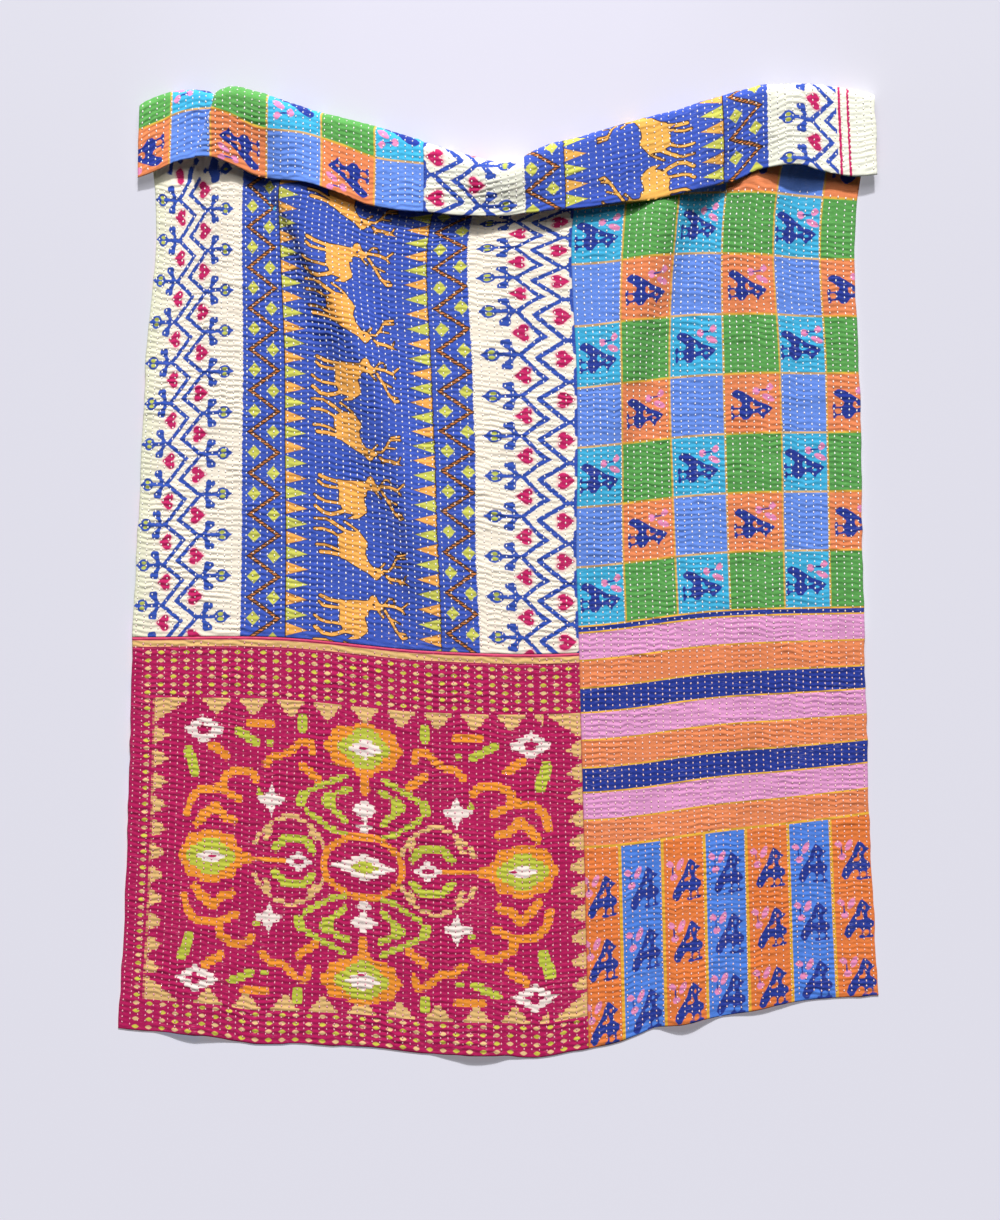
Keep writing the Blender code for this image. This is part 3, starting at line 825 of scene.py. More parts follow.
def figures_of_medallion_cloth(a, b, reverse):
    """The border's stepped triangles, and the field: four drop-shaped medallions pointing at the
    middle with their small magenta cores, and the strokes of one quarter mirrored to the others.
    Places are rounded to the steps of the dyer's bundles, so edges are stepped."""
    across, up = 0.405, 0.300
    off, high = np.abs(a - across) * 1000, (b - up) * 1000
    high = np.where(high < 0, -high * 1.08, high)
    b_steps = (np.floor(b / 0.0066) + 0.5) * 0.0066
    border = border_triangles((np.floor(a / 0.0042) + 0.5) * 0.0042, b_steps)
    a = np.interp(a, PRINTED_AT, DRAWN_AT)
    a_steps = (np.floor(a / 0.0042) + 0.5) * 0.0042
    x = np.abs(a_steps - across) * 1000
    y = np.abs(b_steps - up) * 1000
    y = np.where(b_steps < up, y * 1.02, y)
    fields = {"tan": [], "orange": [], "lime": [], "white": []}
    for colour, half_width, points in FIELD_STROKES:
        fields[colour].append(stroke(x, y, points, half_width))
    for outer, ring, core in (drop(y - 194, x, UPRIGHT), drop(x - 258, y, SIDEWAYS)):
        fields["orange"].append(outer)
        fields["lime"].append(ring)
        fields["white"].append(core)
    fields["lime"].append(lozenge(x, y, (0, 0), (24, 14)))
    middle = np.maximum(lozenge(x, y, (0, 0), (52, 24)), -lozenge(x, y, (0, 0), (24, 14)))
    fields["white"].append(middle)
    fields["white"] += blossoms(x, y)
    fields["tan"].append(border * 1000)
    fields["core"] = [oval(off, high, centre, (7.0, 2.6)) for centre in ((0, 194), (258, 0))]
    return {name: lowest(*parts) / 1000 for name, parts in fields.items()}


def lozenge(x, y, centre, radii):
    """A lozenge's near distance, from its half diagonals."""
    off = np.abs(x - centre[0]) / radii[0] + np.abs(y - centre[1]) / radii[1]
    return (off - 1) * radii[0] * radii[1] / np.hypot(*radii)


def blossoms(x, y):
    """White figures between the medallions: hollow lozenges near the corners and inside the side
    rings, four-pointed stars beside the chevrons, and two lozenges between them."""
    hollow = [
        np.maximum(lozenge(x, y, centre, radii), -lozenge(x, y, centre, [r * 0.42 for r in radii]))
        for centre, radii in (((273, 209), (34, 23)), ((110, 0), (24, 17)))
    ]
    star = [lozenge(x, y, (160, 97), (28, 13)), lozenge(x, y, (160, 97), (13, 28))]
    stack = [lozenge(x, y, (0, 94), (23, 18)), lozenge(x, y, (0, 65), (15, 10))]
    return hollow + star + stack


# Half length and half width of a medallion's outer shape, its reach to the point, and the half
# lengths and half widths of its ring and middle
UPRIGHT = (40, 65, 57, 33, 44, 17, 31)
SIDEWAYS = (50, 44, 84, 38, 30, 20, 14)


def drop(x, y, sizes):
    """A medallion with its point at negative x: outer, ring and inner distances, millimetres. Its
    outline is an oval with small lobes, and the ring's tips lie on its axes."""
    half_length, half_width, reach, ring_x, ring_y, core_x, core_y = sizes
    angle = np.arctan2(y / half_width, x / half_length)
    small = min(half_length, half_width)
    round_part = (np.hypot(x / half_length, y / half_width) / (1 + 0.05 * np.cos(8 * angle)) - 1) * small
    point = polygon(x, y, ((-10, half_width * 0.66), (-reach, 0), (-10, -1)))
    outer = lowest(round_part, point)
    ring = (np.hypot(x / ring_x, y / ring_y) / (0.94 + 0.10 * np.cos(4 * angle)) - 1) * ring_y
    core = lozenge(x, y, (0, 0), (core_x, core_y))
    return outer, ring, core


def border_triangles(a, b):
    """Triangles on the four sides of the field, pointing in, and a larger one in each corner."""
    left, right, low, high = 0.040, 0.787, 0.054, 0.560
    top = tooth(high - b, near_repeat(a, 0.407, 0.0645), 0.029, 0.0255)
    bottom = tooth(b - low, near_repeat(a, 0.407, 0.0645), 0.029, 0.0255)
    sides = tooth(np.minimum(a - left, right - a), near_repeat(b, 0.303, 0.0392), 0.028, 0.0175)
    in_corner = (np.minimum(a - left, right - a) < 0.064) & (np.minimum(b - low, high - b) < 0.046)
    from_side = np.minimum(a - left, right - a)
    from_end = np.minimum(b - low, high - b)
    corner = np.maximum.reduce([-from_side, -from_end, (from_side / 0.060 + from_end / 0.042 - 1) * 0.03])
    in_field = np.maximum.reduce([left - a, low - b, b - high])
    teeth = np.where(in_corner, 9.0, np.minimum(np.minimum(top, bottom), sides))
    return np.maximum(np.minimum(teeth, corner), in_field)


def tooth(depth, off, height, half_base):
    """One triangle's distance: depth is measured in from its base, off along it."""
    slant = (np.abs(off) / half_base + depth / height - 1) * min(half_base, height) * 0.7
    return np.maximum(slant, -depth)


# Materials


def dye(red, green, blue):
    """A colour given in display values from 0 to 255, as linear light."""
    values = np.array([red, green, blue]) / 255
    linear = np.where(values > 0.04045, ((values + 0.055) / 1.055) ** 2.4, values / 12.92)
    return (*[float(v) for v in linear], 1.0)


class Nodes:
    """Adds nodes to a tree. Each call returns the socket with its result."""

    def __init__(self, tree):
        self.tree = tree

    def add(self, kind, inputs=(), output=0, **settings):
        node = self.tree.nodes.new(kind)
        for key, value in settings.items():
            setattr(node, key, value)
        for key, value in dict(inputs).items():
            self.connect(value, node.inputs[key])
        return node.outputs[output]

    def connect(self, value, socket):
        if isinstance(value, bpy.types.NodeSocket):
            self.tree.links.new(value, socket)
        else:
            socket.default_value = value

    def math(self, operation, *values, clamp=False):
        return self.add("ShaderNodeMath", enumerate(values), operation=operation, use_clamp=clamp)

    def below(self, value, edge, soft=0.0007):
        """1 where value is below edge, 0 above it, over a soft step."""
        return self.math("MULTIPLY_ADD", value, -1 / soft, edge / soft + 0.5, clamp=True)

    def within(self, value, half, soft=0.0007):
        return self.below(self.math("ABSOLUTE", value), half, soft)

    def both(self, first, second):
        return self.math("MULTIPLY", first, second)

    def either(self, first, second):
        return self.math("MAXIMUM", first, second)

    def odd(self, value):
        """1 where the whole part of value is odd."""
        whole = self.math("FLOOR", value)
        return self.math("PINGPONG", whole, 1.0)

    def repeat(self, value, pitch, start=0.0):
        """How far along its repeat a place is, from 0 to 1."""
        return self.math("FRACT", self.math("MULTIPLY_ADD", value, 1 / pitch, -start / pitch))

    def mix(self, mask, first, second):
        inputs = {0: mask, 6: first, 7: second}
        return self.add("ShaderNodeMix", inputs, output=2, data_type="RGBA")

    def field(self, name):
        return self.add("ShaderNodeAttribute", attribute_name=name, output=2)

    def group(self, tree, inputs, output):
        node = self.tree.nodes.new("ShaderNodeGroup")
        node.node_tree = tree
        for key, value in inputs.items():
            self.connect(value, node.inputs[key])
        return node.outputs[output]


def new_group(name, inputs, outputs):
    """An empty shader group with its named inputs and outputs."""
    tree = bpy.data.node_groups.new(name, "ShaderNodeTree")
    for label, kind, value in inputs:
        socket = tree.interface.new_socket(label, in_out="INPUT", socket_type=kind)
        socket.default_value = value
    for label, kind in outputs:
        tree.interface.new_socket(label, in_out="OUTPUT", socket_type=kind)
    return tree, tree.nodes.new("NodeGroupInput"), tree.nodes.new("NodeGroupOutput")


PLACE_INPUTS = (("Across", "NodeSocketFloat", 0.0), ("Along", "NodeSocketFloat", 0.0))


def feather_group():
    """Shift of a dyed edge, in metres: short bristles, one to each thread or two, and a slower
    waver. Threads run across, so the shift changes fast along the cloth and slowly across it."""
    inputs = [*PLACE_INPUTS, ("Amount", "NodeSocketFloat", 1.0)]
    tree, start, end = new_group("feathered_dye", inputs, [("Shift", "NodeSocketFloat")])
    n = Nodes(tree)
    place = n.add("ShaderNodeCombineXYZ", {
        0: n.math("MULTIPLY", start.outputs["Across"], 60.0),
        1: n.math("MULTIPLY", start.outputs["Along"], 520.0),
    })
    bristle = n.add("ShaderNodeTexNoise", {"Vector": place, "Scale": 1.0, "Detail": 2.0, "Roughness": 0.6})
    slow = n.add("ShaderNodeCombineXYZ", {
        0: n.math("MULTIPLY", start.outputs["Across"], 90.0),
        1: n.math("MULTIPLY", start.outputs["Along"], 110.0),
    })
    waver = n.add("ShaderNodeTexNoise", {"Vector": slow, "Scale": 1.0, "Detail": 1.0})
    fine = n.math("MULTIPLY_ADD", bristle, 0.0062, -0.0031)
    shift = n.math("ADD", fine, n.math("MULTIPLY_ADD", waver, 0.0048, -0.0024))
    n.connect(n.math("MULTIPLY", shift, start.outputs["Amount"]), end.inputs["Shift"])
    return tree


def cotton_group():
    """Old cotton: a tone near 1 that varies by thread, patch and wear, and the weave's height."""
    inputs = [*PLACE_INPUTS, ("Mottle", "NodeSocketFloat", 1.0)]
    tree, start, end = new_group("worn_cotton", inputs, [
        ("Tone", "NodeSocketFloat"), ("Height", "NodeSocketFloat"), ("Bare", "NodeSocketFloat"),
    ])
    n = Nodes(tree)
    across, along = start.outputs["Across"], start.outputs["Along"]
    place = n.add("ShaderNodeCombineXYZ", {0: across, 1: along})
    threads = n.add("ShaderNodeCombineXYZ", {
        0: n.math("MULTIPLY", across, 90.0),
        1: n.math("MULTIPLY", along, 900.0),
    })
    streak = n.add("ShaderNodeTexNoise", {"Vector": threads, "Scale": 1.0, "Detail": 1.0})
    patch = n.add("ShaderNodeTexNoise", {"Vector": place, "Scale": 14.0, "Detail": 4.0, "Roughness": 0.6})
    speck = n.add("ShaderNodeTexNoise", {"Vector": place, "Scale": 520.0, "Detail": 2.0})
    tone = n.math("MULTIPLY_ADD", streak, 0.22, 0.89)
    tone = n.math("MULTIPLY_ADD", patch, 0.16, n.math("SUBTRACT", tone, 0.08))
    tone = n.math("MULTIPLY_ADD", speck, 0.24, n.math("SUBTRACT", tone, 0.12))
    tone = n.math("MULTIPLY_ADD", n.math("SUBTRACT", tone, 1.0), start.outputs["Mottle"], 1.0)
    warp = n.math("SINE", n.math("MULTIPLY", across, 2 * np.pi / 0.0011))
    weft = n.math("SINE", n.math("MULTIPLY", along, 2 * np.pi / 0.0011))
    height = n.math("MULTIPLY_ADD", n.math("MULTIPLY", warp, weft), 0.5, speck)
    bare = n.math("MULTIPLY_ADD", patch, 0.35, n.math("ADD", streak, -0.80))
    bare = n.math("MINIMUM", n.math("MAXIMUM", n.math("MULTIPLY", bare, 4.0), 0.0), 1.0)
    n.connect(bare, end.inputs["Bare"])
    n.connect(tone, end.inputs["Tone"])
    n.connect(height, end.inputs["Height"])
    return tree


def start_cotton(name):
    """A material with its default shader, and the cloth's own flat metres from its UV map."""
    material = bpy.data.materials.new(name)
    material.use_nodes = True
    n = Nodes(material.node_tree)
    uv = n.add("ShaderNodeUVMap", uv_map="cloth")
    split = material.node_tree.nodes.new("ShaderNodeSeparateXYZ")
    n.connect(uv, split.inputs[0])
    a, b = split.outputs[0], split.outputs[1]
    return material, n, a, b


def finish_cotton(material, n, a, b, colour, mottle=1.0, strength=1.0):
    """Tone, weave and a matt shader with a little fibre sheen. strength scales the tone; above 1 it is
    painted light, a lighter copy of a dye for the reverse faces that show on the flap, where it tilts away
    from the lamps.
    """
    inputs = {"Across": a, "Along": b, "Mottle": mottle}
    group = material.node_tree.nodes.new("ShaderNodeGroup")
    group.node_tree = bpy.data.node_groups["worn_cotton"]
    for key, value in inputs.items():
        n.connect(value, group.inputs[key])
    # Painted light where strength is above 1: the dye is made lighter, for the flap that tilts away from the
    # lamps.
    tone = n.math("MULTIPLY", group.outputs["Tone"], strength)
    grey = n.add("ShaderNodeCombineColor", {0: tone, 1: tone, 2: tone})
    toned = n.add(
        "ShaderNodeMix", {0: 1.0, 6: colour, 7: grey}, output=2, data_type="RGBA", blend_type="MULTIPLY",
        clamp_result=True,
    )
    toned = n.mix(n.math("MULTIPLY", group.outputs["Bare"], 0.32), toned, dye(240, 230, 224))
    bump = n.add("ShaderNodeBump", {"Height": group.outputs["Height"], "Strength": 0.35, "Distance": 0.0002})
    shader = material.node_tree.nodes["Principled BSDF"]
    n.connect(toned, shader.inputs["Base Color"])
    n.connect(n.math("MULTIPLY_ADD", group.outputs["Tone"], 0.15, 0.72), shader.inputs["Roughness"])
    n.connect(bump, shader.inputs["Normal"])
    shader.inputs["Specular IOR Level"].default_value = 0.25
    shader.inputs["Sheen Weight"].default_value = 0.15
    shader.inputs["Sheen Roughness"].default_value = 0.5


CREAM = dye(254, 241, 222)
ROYAL_BLUE = dye(60, 88, 188)
VINE_BLUE = dye(48, 80, 176)
DEER_ORANGE = dye(255, 180, 86)
DARK_BROWN = dye(66, 46, 40)
LIME = dye(208, 208, 92)
HEART = dye(196, 28, 98)
MAGENTA = dye(180, 14, 86)
TAN = dye(226, 184, 118)
MEDALLION_ORANGE = dye(238, 147, 44)
MEDALLION_LIME = dye(190, 196, 64)
IVORY = dye(243, 226, 218)
GREEN = dye(90, 162, 80)
CYAN = dye(62, 176, 220)
PERIWINKLE = dye(102, 142, 230)
CORAL = dye(234, 136, 86)
NAVY = dye(32, 54, 148)
FLOWER_PINK = dye(232, 140, 186)
STRIPE_PINK = dye(227, 154, 204)
YELLOW_LINE = dye(232, 176, 56)
COLUMN_BLUE = dye(76, 128, 222)
COLUMN_ORANGE = dye(232, 124, 58)
THREAD = dye(255, 253, 250)
WORN_THREAD = dye(246, 206, 200)
ROSE_THREAD = dye(238, 150, 176)


def shift_of(n, a, b, amount):
    group = bpy.data.node_groups["feathered_dye"]
    return n.group(group, {"Across": a, "Along": b, "Amount": amount}, "Shift")


def deer_cotton(name, reverse):
    """Blue field with deer and triangles, zigzag strips, and cream strips with vines."""
    material, n, a, b = start_cotton(name)
    shift = shift_of(n, a, b, 1.0)
    light_shift = n.math("MULTIPLY", shift, 0.5)
    b_local = n.math("SUBTRACT", b, CROSS_SEAM)
    wavering = n.math("ADD", a, shift)
    from_middle = n.math("ABSOLUTE", n.math("SUBTRACT", wavering, 0.401))
    blue = n.below(from_middle, 0.212)
    crisp = n.math("ADD", a, light_shift)
    m = n.math("ABSOLUTE", n.math("SUBTRACT", crisp, 0.406))
    right_side = n.math("GREATER_THAN", a, 0.406)

    # Cream strips: plants, buds, hearts, and a pale green tint near the outer edge
    ragged = n.math("MULTIPLY", shift, 0.42)
    tint = n.below(a, 0.030, 0.05)
    cream = n.mix(tint, CREAM, dye(233, 232, 204))
    strips = n.mix(n.below(n.math("ADD", n.field("plant"), ragged), 0.0004, 0.0012), cream, VINE_BLUE)
    strips = n.mix(n.below(n.math("ADD", n.field("bud"), ragged), 0.0, 0.0012), strips, dye(186, 192, 84))
    heart = n.math("ADD", n.field("heart"), n.math("MULTIPLY", shift, 0.55))
    strips = n.mix(n.math("MULTIPLY", n.below(heart, 0.0022, 0.0030), 0.55), strips, dye(240, 160, 176))
    strips = n.mix(n.below(heart, 0.0, 0.0012), strips, HEART)

    # Triangles on both base lines, orange and lime by turns
    depth = n.math("SUBTRACT", 0.138, m)
    start = n.math("MULTIPLY_ADD", right_side, 0.0040, 0.0019)
    t = n.math("MULTIPLY", n.math("SUBTRACT", b_local, start), 1 / 0.025)
    off = n.math("ABSOLUTE", n.math("SUBTRACT", n.math("FRACT", t), 0.5))
    slant = n.math("MULTIPLY_ADD", depth, 0.44 / 0.039, off)
    in_triangle = n.both(n.below(slant, 0.44, 0.05), n.below(m, 0.138))
    near_triangle = n.both(n.within(n.math("SUBTRACT", slant, 0.455), 0.022, 0.04), n.below(m, 0.138))
    triangle = n.mix(n.odd(t), DEER_ORANGE, LIME)

    # Zigzag line and diamonds on the outer strips
    z = n.math("SUBTRACT", n.math("ADD", m, light_shift), 0.138)
    turn = n.repeat(b_local, 0.0683, 0.0648)
    wave = n.math("PINGPONG", n.math("MULTIPLY", turn, 2.0), 1.0)
    line = n.math("MULTIPLY_ADD", wave, -0.052, 0.065)
    from_line = n.math("MULTIPLY", n.math("SUBTRACT", z, line), 0.54)
    dashes = n.math("SINE", n.math("MULTIPLY", b, 2 * np.pi / 0.0042))
    core = n.both(n.within(from_line, 0.0017), n.math("GREATER_THAN", dashes, -0.1))
    zigzag_colour = n.mix(core, DARK_BROWN, dye(222, 132, 64))
    in_zigzag = n.within(from_line, 0.0035)
    half_turn = n.repeat(b_local, 0.0683, 0.0648 + 0.03415)
    near_off, far_off = (
        n.math("MULTIPLY", n.math("ABSOLUTE", n.math("SUBTRACT", t, 0.5)), 0.0683) for t in (half_turn, turn)
    )
    near_diamond = n.math("ADD", n.math("ABSOLUTE", n.math("SUBTRACT", z, 0.022)), near_off)
    far_diamond = n.math("ADD", n.math("ABSOLUTE", n.math("SUBTRACT", z, 0.057)), far_off)
    in_diamond = n.either(n.below(near_diamond, 0.0120, 0.0022), n.below(far_diamond, 0.0120, 0.0022))

    # The blue field
    field = n.mix(in_triangle, ROYAL_BLUE, triangle)
    field = n.mix(n.math("MULTIPLY", near_triangle, 0.55), field, DARK_BROWN)
    outer = n.math("GREATER_THAN", z, 0.0)
    field = n.mix(n.both(in_diamond, outer), field, LIME)
    field = n.mix(n.both(in_zigzag, outer), field, zigzag_colour)
    field = n.mix(n.within(z, 0.0010), field, DARK_BROWN)
    deer = n.math("ADD", n.field("deer"), n.math("MULTIPLY", shift, 0.3))
    field = n.mix(n.below(deer, 0.0013), field, DARK_BROWN)
    field = n.mix(n.below(deer, -0.0003), field, DEER_ORANGE)
    colour = n.mix(blue, strips, field)
    if reverse:
        band = n.below(a, 0.066)
        first = n.within(n.math("SUBTRACT", crisp, 0.061), 0.0022)
        second = n.within(n.math("SUBTRACT", crisp, 0.046), 0.0022)
        striped = n.mix(n.either(first, second), CREAM, HEART)
        colour = n.mix(band, colour, striped)
    # Painted light: the reverse face's dye is made 15 per cent lighter, for the flap that tilts away from
    # the lamps.
    finish_cotton(material, n, a, b, colour, strength=1.15 if reverse else 1.0)
    return material


def medallion_cotton(name):
    """Magenta cloth: a tan top stripe, rows of dashes, and the field's stepped figures."""
    material, n, a, b = start_cotton(name)
    shift = shift_of(n, a, b, 0.45)
    a_moved = n.math("ADD", a, shift)
    colour = MAGENTA

    # Dashes: rows under the top stripe, rows over the hem, and one column at the left
    column = n.repeat(a_moved, 0.0224, 0.0172)
    row = n.repeat(b, 0.0134, 0.0)
    from_column = n.math("MULTIPLY", n.math("ABSOLUTE", n.math("SUBTRACT", column, 0.5)), 1 / 0.27)
    from_row = n.math("MULTIPLY", n.math("ABSOLUTE", n.math("SUBTRACT", row, 0.5)), 1 / 0.27)
    from_dash = n.math("ADD", n.math("POWER", from_column, 1.6), n.math("POWER", from_row, 1.3))
    in_dash = n.below(from_dash, 0.92, 0.35)
    column_count = n.math("FLOOR", n.math("MULTIPLY_ADD", a_moved, 1 / 0.0224, -0.0172 / 0.0224))
    checker = n.odd(n.math("ADD", n.math("MULTIPLY", b, 1 / 0.0134), column_count))
    top_rows = n.both(n.below(b, 0.643), n.math("GREATER_THAN", b, 0.5628))
    low_rows = n.both(n.below(b, 0.0500), n.math("GREATER_THAN", b, 0.0015))
    right_of = n.math("GREATER_THAN", a, 0.019)
    first_column = n.below(a, 0.034)
    rows = n.either(n.either(top_rows, low_rows), n.both(first_column, n.below(b, 0.643)))
    dash_zone = n.both(rows, right_of)
    dash_colour = n.mix(checker, dye(208, 200, 72), dye(232, 194, 136))
    colour = n.mix(n.both(dash_zone, in_dash), colour, dash_colour)

    shades = (("tan", TAN), ("orange", MEDALLION_ORANGE), ("lime", MEDALLION_LIME), ("white", IVORY))
    for figure, shade in shades:
        distance = n.math("ADD", n.field(figure), shift)
        colour = n.mix(n.below(distance, 0.0), colour, shade)
    core = n.math("ADD", n.field("core"), shift)
    colour = n.mix(n.below(core, 0.0), colour, MAGENTA)

    # The top stripe and its thin lines
    from_top = n.math("SUBTRACT", CROSS_SEAM, b)
    stripe = n.mix(n.within(n.math("SUBTRACT", from_top, 0.0105), 0.0052), dye(214, 70, 110), TAN)
    stripe = n.mix(n.within(n.math("SUBTRACT", from_top, 0.0036), 0.0006), stripe, dye(120, 20, 50))
    stripe = n.mix(n.within(n.math("SUBTRACT", from_top, 0.0172), 0.0006), stripe, dye(120, 20, 50))
    colour = n.mix(n.below(from_top, 0.0188), colour, stripe)
    finish_cotton(material, n, a, b, colour)
    return material


def check_cotton(name, reverse):
    """Checks with birds, then cross stripes, then columns of birds, with thin yellow lines."""
    material, n, a, b = start_cotton(name)
    shift = shift_of(n, a, b, 0.22)
    if reverse:
        high = n.math("GREATER_THAN", b, 1.2)
        b_print = n.math("MULTIPLY_ADD", high, -0.035, b)
    else:
        b_print = b
    x = n.math("ADD", n.math("SUBTRACT", a, FRONT_SEAM), shift)
    y = n.math("ADD", b_print, n.math("MULTIPLY", shift, 0.5))
    if not reverse:
        under = n.math("SUBTRACT", 0.70, n.math("MINIMUM", n.math("MAXIMUM", y, 0.334), 0.70))
        spread = n.math("MULTIPLY", x, n.math("MULTIPLY_ADD", x, -0.5, 0.27))
        y = n.math("ADD", y, n.math("MULTIPLY", under, spread))

    # Checks
    count = 0.0
    nearest = 1.0
    for edge in CHECK_EDGES:
        count = n.math("ADD", n.math("GREATER_THAN", x, edge), count)
        nearest = n.math("MINIMUM", n.math("ABSOLUTE", n.math("SUBTRACT", x, edge)), nearest)
    odd_column = n.odd(count)
    place = n.math("MULTIPLY_ADD", y, 1 / CHECK_HEIGHT, -CHECKS_FROM / CHECK_HEIGHT)
    odd_row = n.odd(place)
    even = n.mix(odd_column, CYAN, GREEN)
    other = n.mix(odd_column, PERIWINKLE, CORAL)
    checks = n.mix(odd_row, even, other)
    from_row = n.math("SUBTRACT", n.math("FRACT", n.math("ADD", place, 0.5)), 0.5)
    row_line = n.within(from_row, 0.0019 / CHECK_HEIGHT, 0.01)
    lines = n.either(n.below(nearest, 0.0018), row_line)
    checks = n.mix(n.math("MULTIPLY", lines, 0.8), checks, YELLOW_LINE)

    # Cross stripes
    pitch = 0.135
    t = n.math("FRACT", n.math("MULTIPLY_ADD", y, -1 / pitch, 0.6955 / pitch))
    stripes = n.mix(n.math("GREATER_THAN", t, 0.344), STRIPE_PINK, CORAL)
    stripes = n.mix(n.math("GREATER_THAN", t, 0.689), stripes, NAVY)
    soft = 0.0008 / pitch
    half = 0.0015 / pitch
    first, second = (n.within(n.math("SUBTRACT", t, edge), half, soft) for edge in (0.344, 0.689))
    stripe_line = n.either(first, second)
    wrap = n.math("SUBTRACT", n.math("FRACT", n.math("ADD", t, 0.5)), 0.5)
    stripe_line = n.either(stripe_line, n.within(wrap, half, soft))
    stripes = n.mix(stripe_line, stripes, YELLOW_LINE)

    # Bird columns
    strip = n.math("MULTIPLY_ADD", x, 1 / BIRD_COLUMN, -BIRD_COLUMN_START / BIRD_COLUMN)
    columns = n.mix(n.odd(strip), COLUMN_BLUE, COLUMN_ORANGE)
    beside = n.math("SUBTRACT", n.math("FRACT", n.math("ADD", strip, 0.5)), 0.5)
    columns = n.mix(n.within(beside, 0.0027 / BIRD_COLUMN, 0.012), columns, YELLOW_LINE)

    colour = n.mix(n.below(y, CHECKS_FROM), checks, stripes)
    colour = n.mix(n.below(y, STRIPES_FROM), colour, columns)
    for line, half in ((CHECKS_FROM, 0.0012), (STRIPES_FROM, 0.0022)):
        colour = n.mix(n.within(n.math("SUBTRACT", y, line), half), colour, YELLOW_LINE)
    for figure, shade in (("flower", FLOWER_PINK), ("bird", NAVY)):
        distance = n.math("ADD", n.field(figure), n.math("MULTIPLY", shift, 1.2))
        colour = n.mix(n.below(distance, 0.0, 0.0012), colour, shade)
    # Painted light: the reverse face's dye is made 22 per cent lighter, for the flap that tilts away from
    # the lamps.
    finish_cotton(material, n, a, b, colour, strength=1.22 if reverse else 1.0)
    return material


def thread_cotton(name, upper, lower, change=-0.09):
    """Sewing thread with a fine twist, in one colour above a place along Y and another below."""
    material = bpy.data.materials.new(name)
    material.use_nodes = True
    n = Nodes(material.node_tree)
    place = n.add("ShaderNodeTexCoord", output="Object")
    patch = n.add("ShaderNodeTexNoise", {"Vector": place, "Scale": 60.0, "Detail": 2.0})
    twist = n.add("ShaderNodeTexNoise", {"Vector": place, "Scale": 900.0, "Detail": 1.0})
    height = material.node_tree.nodes.new("ShaderNodeSeparateXYZ")
    n.connect(place, height.inputs[0])
    worn = n.mix(n.below(height.outputs[1], change, 0.12), upper, lower)
    colour = n.mix(n.math("MULTIPLY", patch, 0.4), worn, dye(236, 220, 206))
    bump = n.add("ShaderNodeBump", {"Height": twist, "Strength": 0.3, "Distance": 0.0002})
    shader = material.node_tree.nodes["Principled BSDF"]
    n.connect(colour, shader.inputs["Base Color"])
    n.connect(n.math("MULTIPLY_ADD", patch, 0.2, 0.6), shader.inputs["Roughness"])
    n.connect(bump, shader.inputs["Normal"])
    return material


# Setting

MM_PER_PIXEL = 1.678
PICTURE = (1000, 1220)
PICTURE_MIDDLE = (0.005, -0.069)
CAMERA_HEIGHT = 6.0


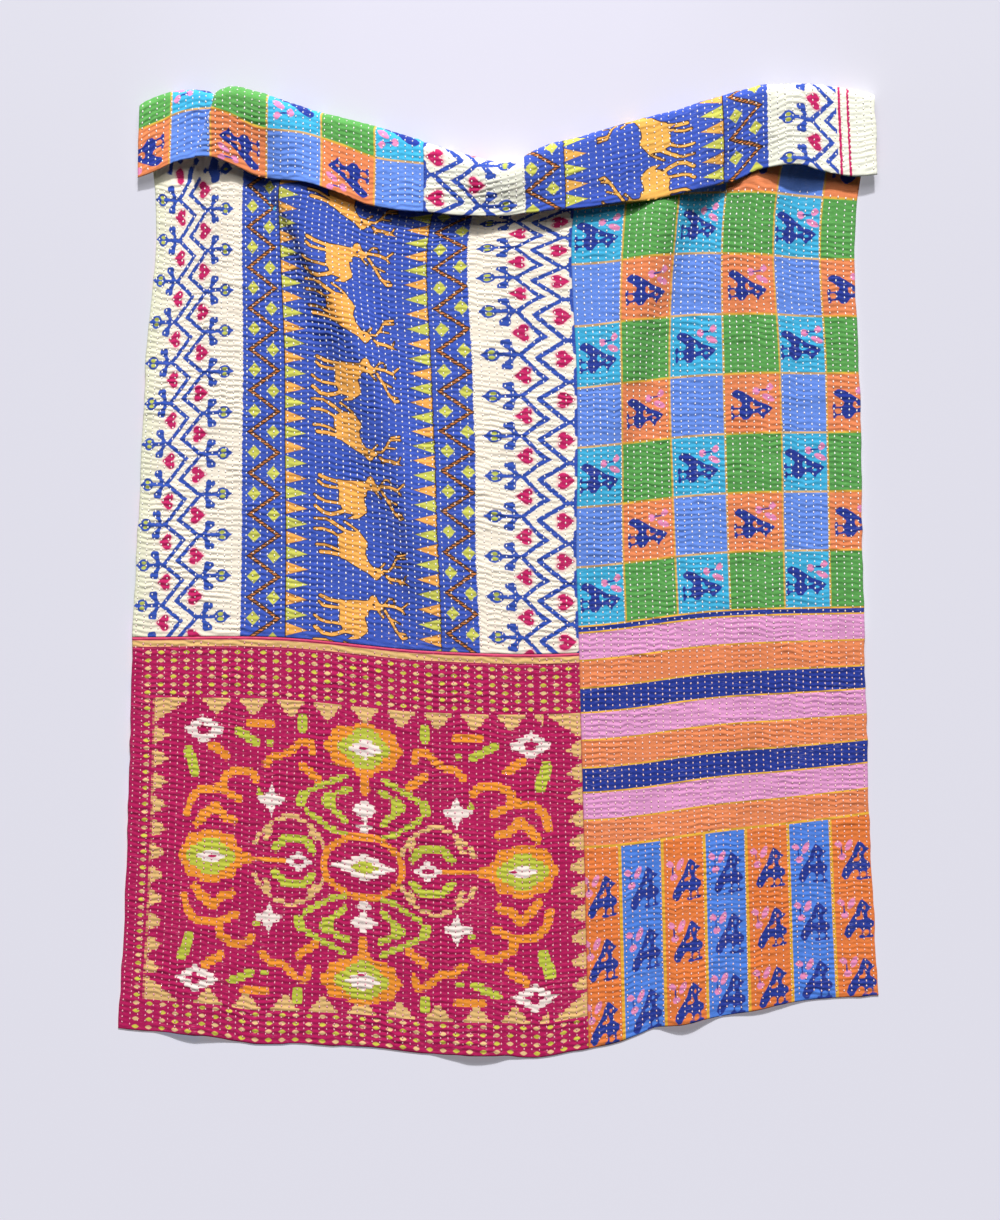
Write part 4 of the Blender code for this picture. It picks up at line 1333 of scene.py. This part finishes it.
def make_setting():
    """A pale floor with painted light in its colour (a lighter pool just beyond the quilt's top, lighter
    again towards the bottom) and a painted glow, soft light from beyond the quilt's top, and a camera
    looking straight down.
    """
    bpy.ops.mesh.primitive_plane_add(size=14, location=(0, 0, -0.0004))
    floor = bpy.context.object
    floor.name = "floor"
    material = bpy.data.materials.new("floor_with_painted_light")
    material.use_nodes = True
    shader = material.node_tree.nodes["Principled BSDF"]
    n = Nodes(material.node_tree)
    # Painted light: the floor's colour is lighter in a pool round a spot just beyond the quilt's top, darker
    # further out, and lighter again towards the bottom, in place of the lamps' falloff.
    spot = n.add("ShaderNodeTexCoord", output="Object")
    away = n.add("ShaderNodeVectorMath", {0: spot, 1: (0.0, 0.95, 0.0)}, output=1, operation="DISTANCE")
    pale = n.mix(n.below(away, 0.45, 0.42), dye(190, 189, 199), dye(196, 194, 207))
    height = material.node_tree.nodes.new("ShaderNodeSeparateXYZ")
    n.connect(spot, height.inputs[0])
    pale = n.mix(n.below(height.outputs[1], -0.3, 1.6), pale, dye(197, 196, 206))
    n.connect(pale, shader.inputs["Base Color"])
    # Painted glow: the floor also gives off light in its own colour, which pales the quilt's shadows on it.
    n.connect(pale, shader.inputs["Emission Color"])
    shader.inputs["Emission Strength"].default_value = 0.42
    shader.inputs["Roughness"].default_value = 0.9
    floor.data.materials.append(material)

    def soft_light(name, place, size, power, colour=(1, 1, 1)):
        light = bpy.data.lights.new(name, "AREA")
        light.shape = "SQUARE"
        light.size = size
        light.energy = power
        light.color = colour
        lamp = bpy.data.objects.new(name, light)
        lamp.location = place
        direction = -np.array(place)
        lamp.rotation_euler = (
            float(np.arctan2(np.hypot(direction[0], direction[1]), -direction[2])),
            0.0,
            float(np.arctan2(direction[1], direction[0]) - np.pi / 2),
        )
        bpy.context.scene.collection.objects.link(lamp)

    sun = bpy.data.lights.new("key", "SUN")
    sun.energy = 3.65
    sun.angle = 0.07
    lamp = bpy.data.objects.new("key", sun)
    lamp.rotation_euler = (-0.92, 0.10, 0.0)
    bpy.context.scene.collection.objects.link(lamp)
    soft_light("fill", (0.0, 3.6, 3.6), 2.0, 92)

    world = bpy.data.worlds.new("studio")
    world.use_nodes = True
    world.node_tree.nodes["Background"].inputs["Color"].default_value = (0.93, 0.94, 1.0, 1)
    world.node_tree.nodes["Background"].inputs["Strength"].default_value = 0.045
    bpy.context.scene.world = world

    camera = bpy.data.cameras.new("camera")
    camera.sensor_fit = "VERTICAL"
    camera.sensor_height = 36
    camera.lens = 36 * CAMERA_HEIGHT / (PICTURE[1] * MM_PER_PIXEL / 1000)
    camera.clip_end = 50
    eye = bpy.data.objects.new("camera", camera)
    eye.location = (*PICTURE_MIDDLE, CAMERA_HEIGHT)
    bpy.context.scene.collection.objects.link(eye)
    bpy.context.scene.camera = eye
    bpy.context.scene.view_settings.view_transform = "Standard"


def build():
    feather_group()
    cotton_group()
    deer_front = deer_cotton("deer_cotton_front", False)
    deer_back = deer_cotton("deer_cotton_back", True)
    check_front = check_cotton("check_cotton_front", False)
    check_back = check_cotton("check_cotton_back", True)
    medallion = medallion_cotton("medallion_cotton_both")
    white_thread = thread_cotton("white_thread", THREAD, WORN_THREAD)
    rose_thread = thread_cotton("rose_thread", ROSE_THREAD, ROSE_THREAD)
    half = SEAM_GAP / 2
    cross = CROSS_SEAM / BODY_LENGTH
    above, below, whole = (cross + half / BODY_LENGTH, 3.0), (0.0, cross - half / BODY_LENGTH), (0.0, 3.0)
    front_left, front_right = (0.0, FRONT_SEAM - half), (FRONT_SEAM + half, CLOTH_WIDTH)
    back_left, back_right = (0.0, BACK_SEAM - half), (BACK_SEAM + half, CLOTH_WIDTH)
    deer_look = (figures_of_deer_cloth, "deer_cotton", (0.787, 1.058))
    medallion_look = (figures_of_medallion_cloth, "medallion_cotton", (0.787, 0.662))
    check_look = (figures_of_check_cloth, "check_cotton", (0.503, 1.720))
    panels = (
        # node, side, across, run, material, samples to a stitch, and figures with slot and cut size
        ("front_deer_panel", 1, front_left, above, deer_front, 5, deer_look),
        ("front_medallion_panel", 1, front_left, below, medallion, 5, medallion_look),
        ("front_check_panel", 1, front_right, whole, check_front, 4, check_look),
        ("back_deer_panel", -1, back_right, above, deer_back, 4, deer_look),
        ("back_medallion_panel", -1, back_right, below, medallion, 4, medallion_look),
        ("back_check_panel", -1, back_left, whole, check_back, 4, check_look),
    )
    for node, side, across, run, material, per_stitch, (figures, slot, cut) in panels:
        name = node.replace("_panel", "_cloth")
        piece, grid = make_panel(name, node, side, across, run, figures, material, per_stitch)
        shown = (run[0], min(run[1], 1.42 / BODY_LENGTH)) if side > 0 else (1.3, 3.0)
        if side > 0 or run[1] > 1.3:
            thread = rose_thread if "medallion" in node else white_thread
            make_stitches(node.replace("_panel", "_stitches"), grid, shown, thread)
    make_setting()


build()
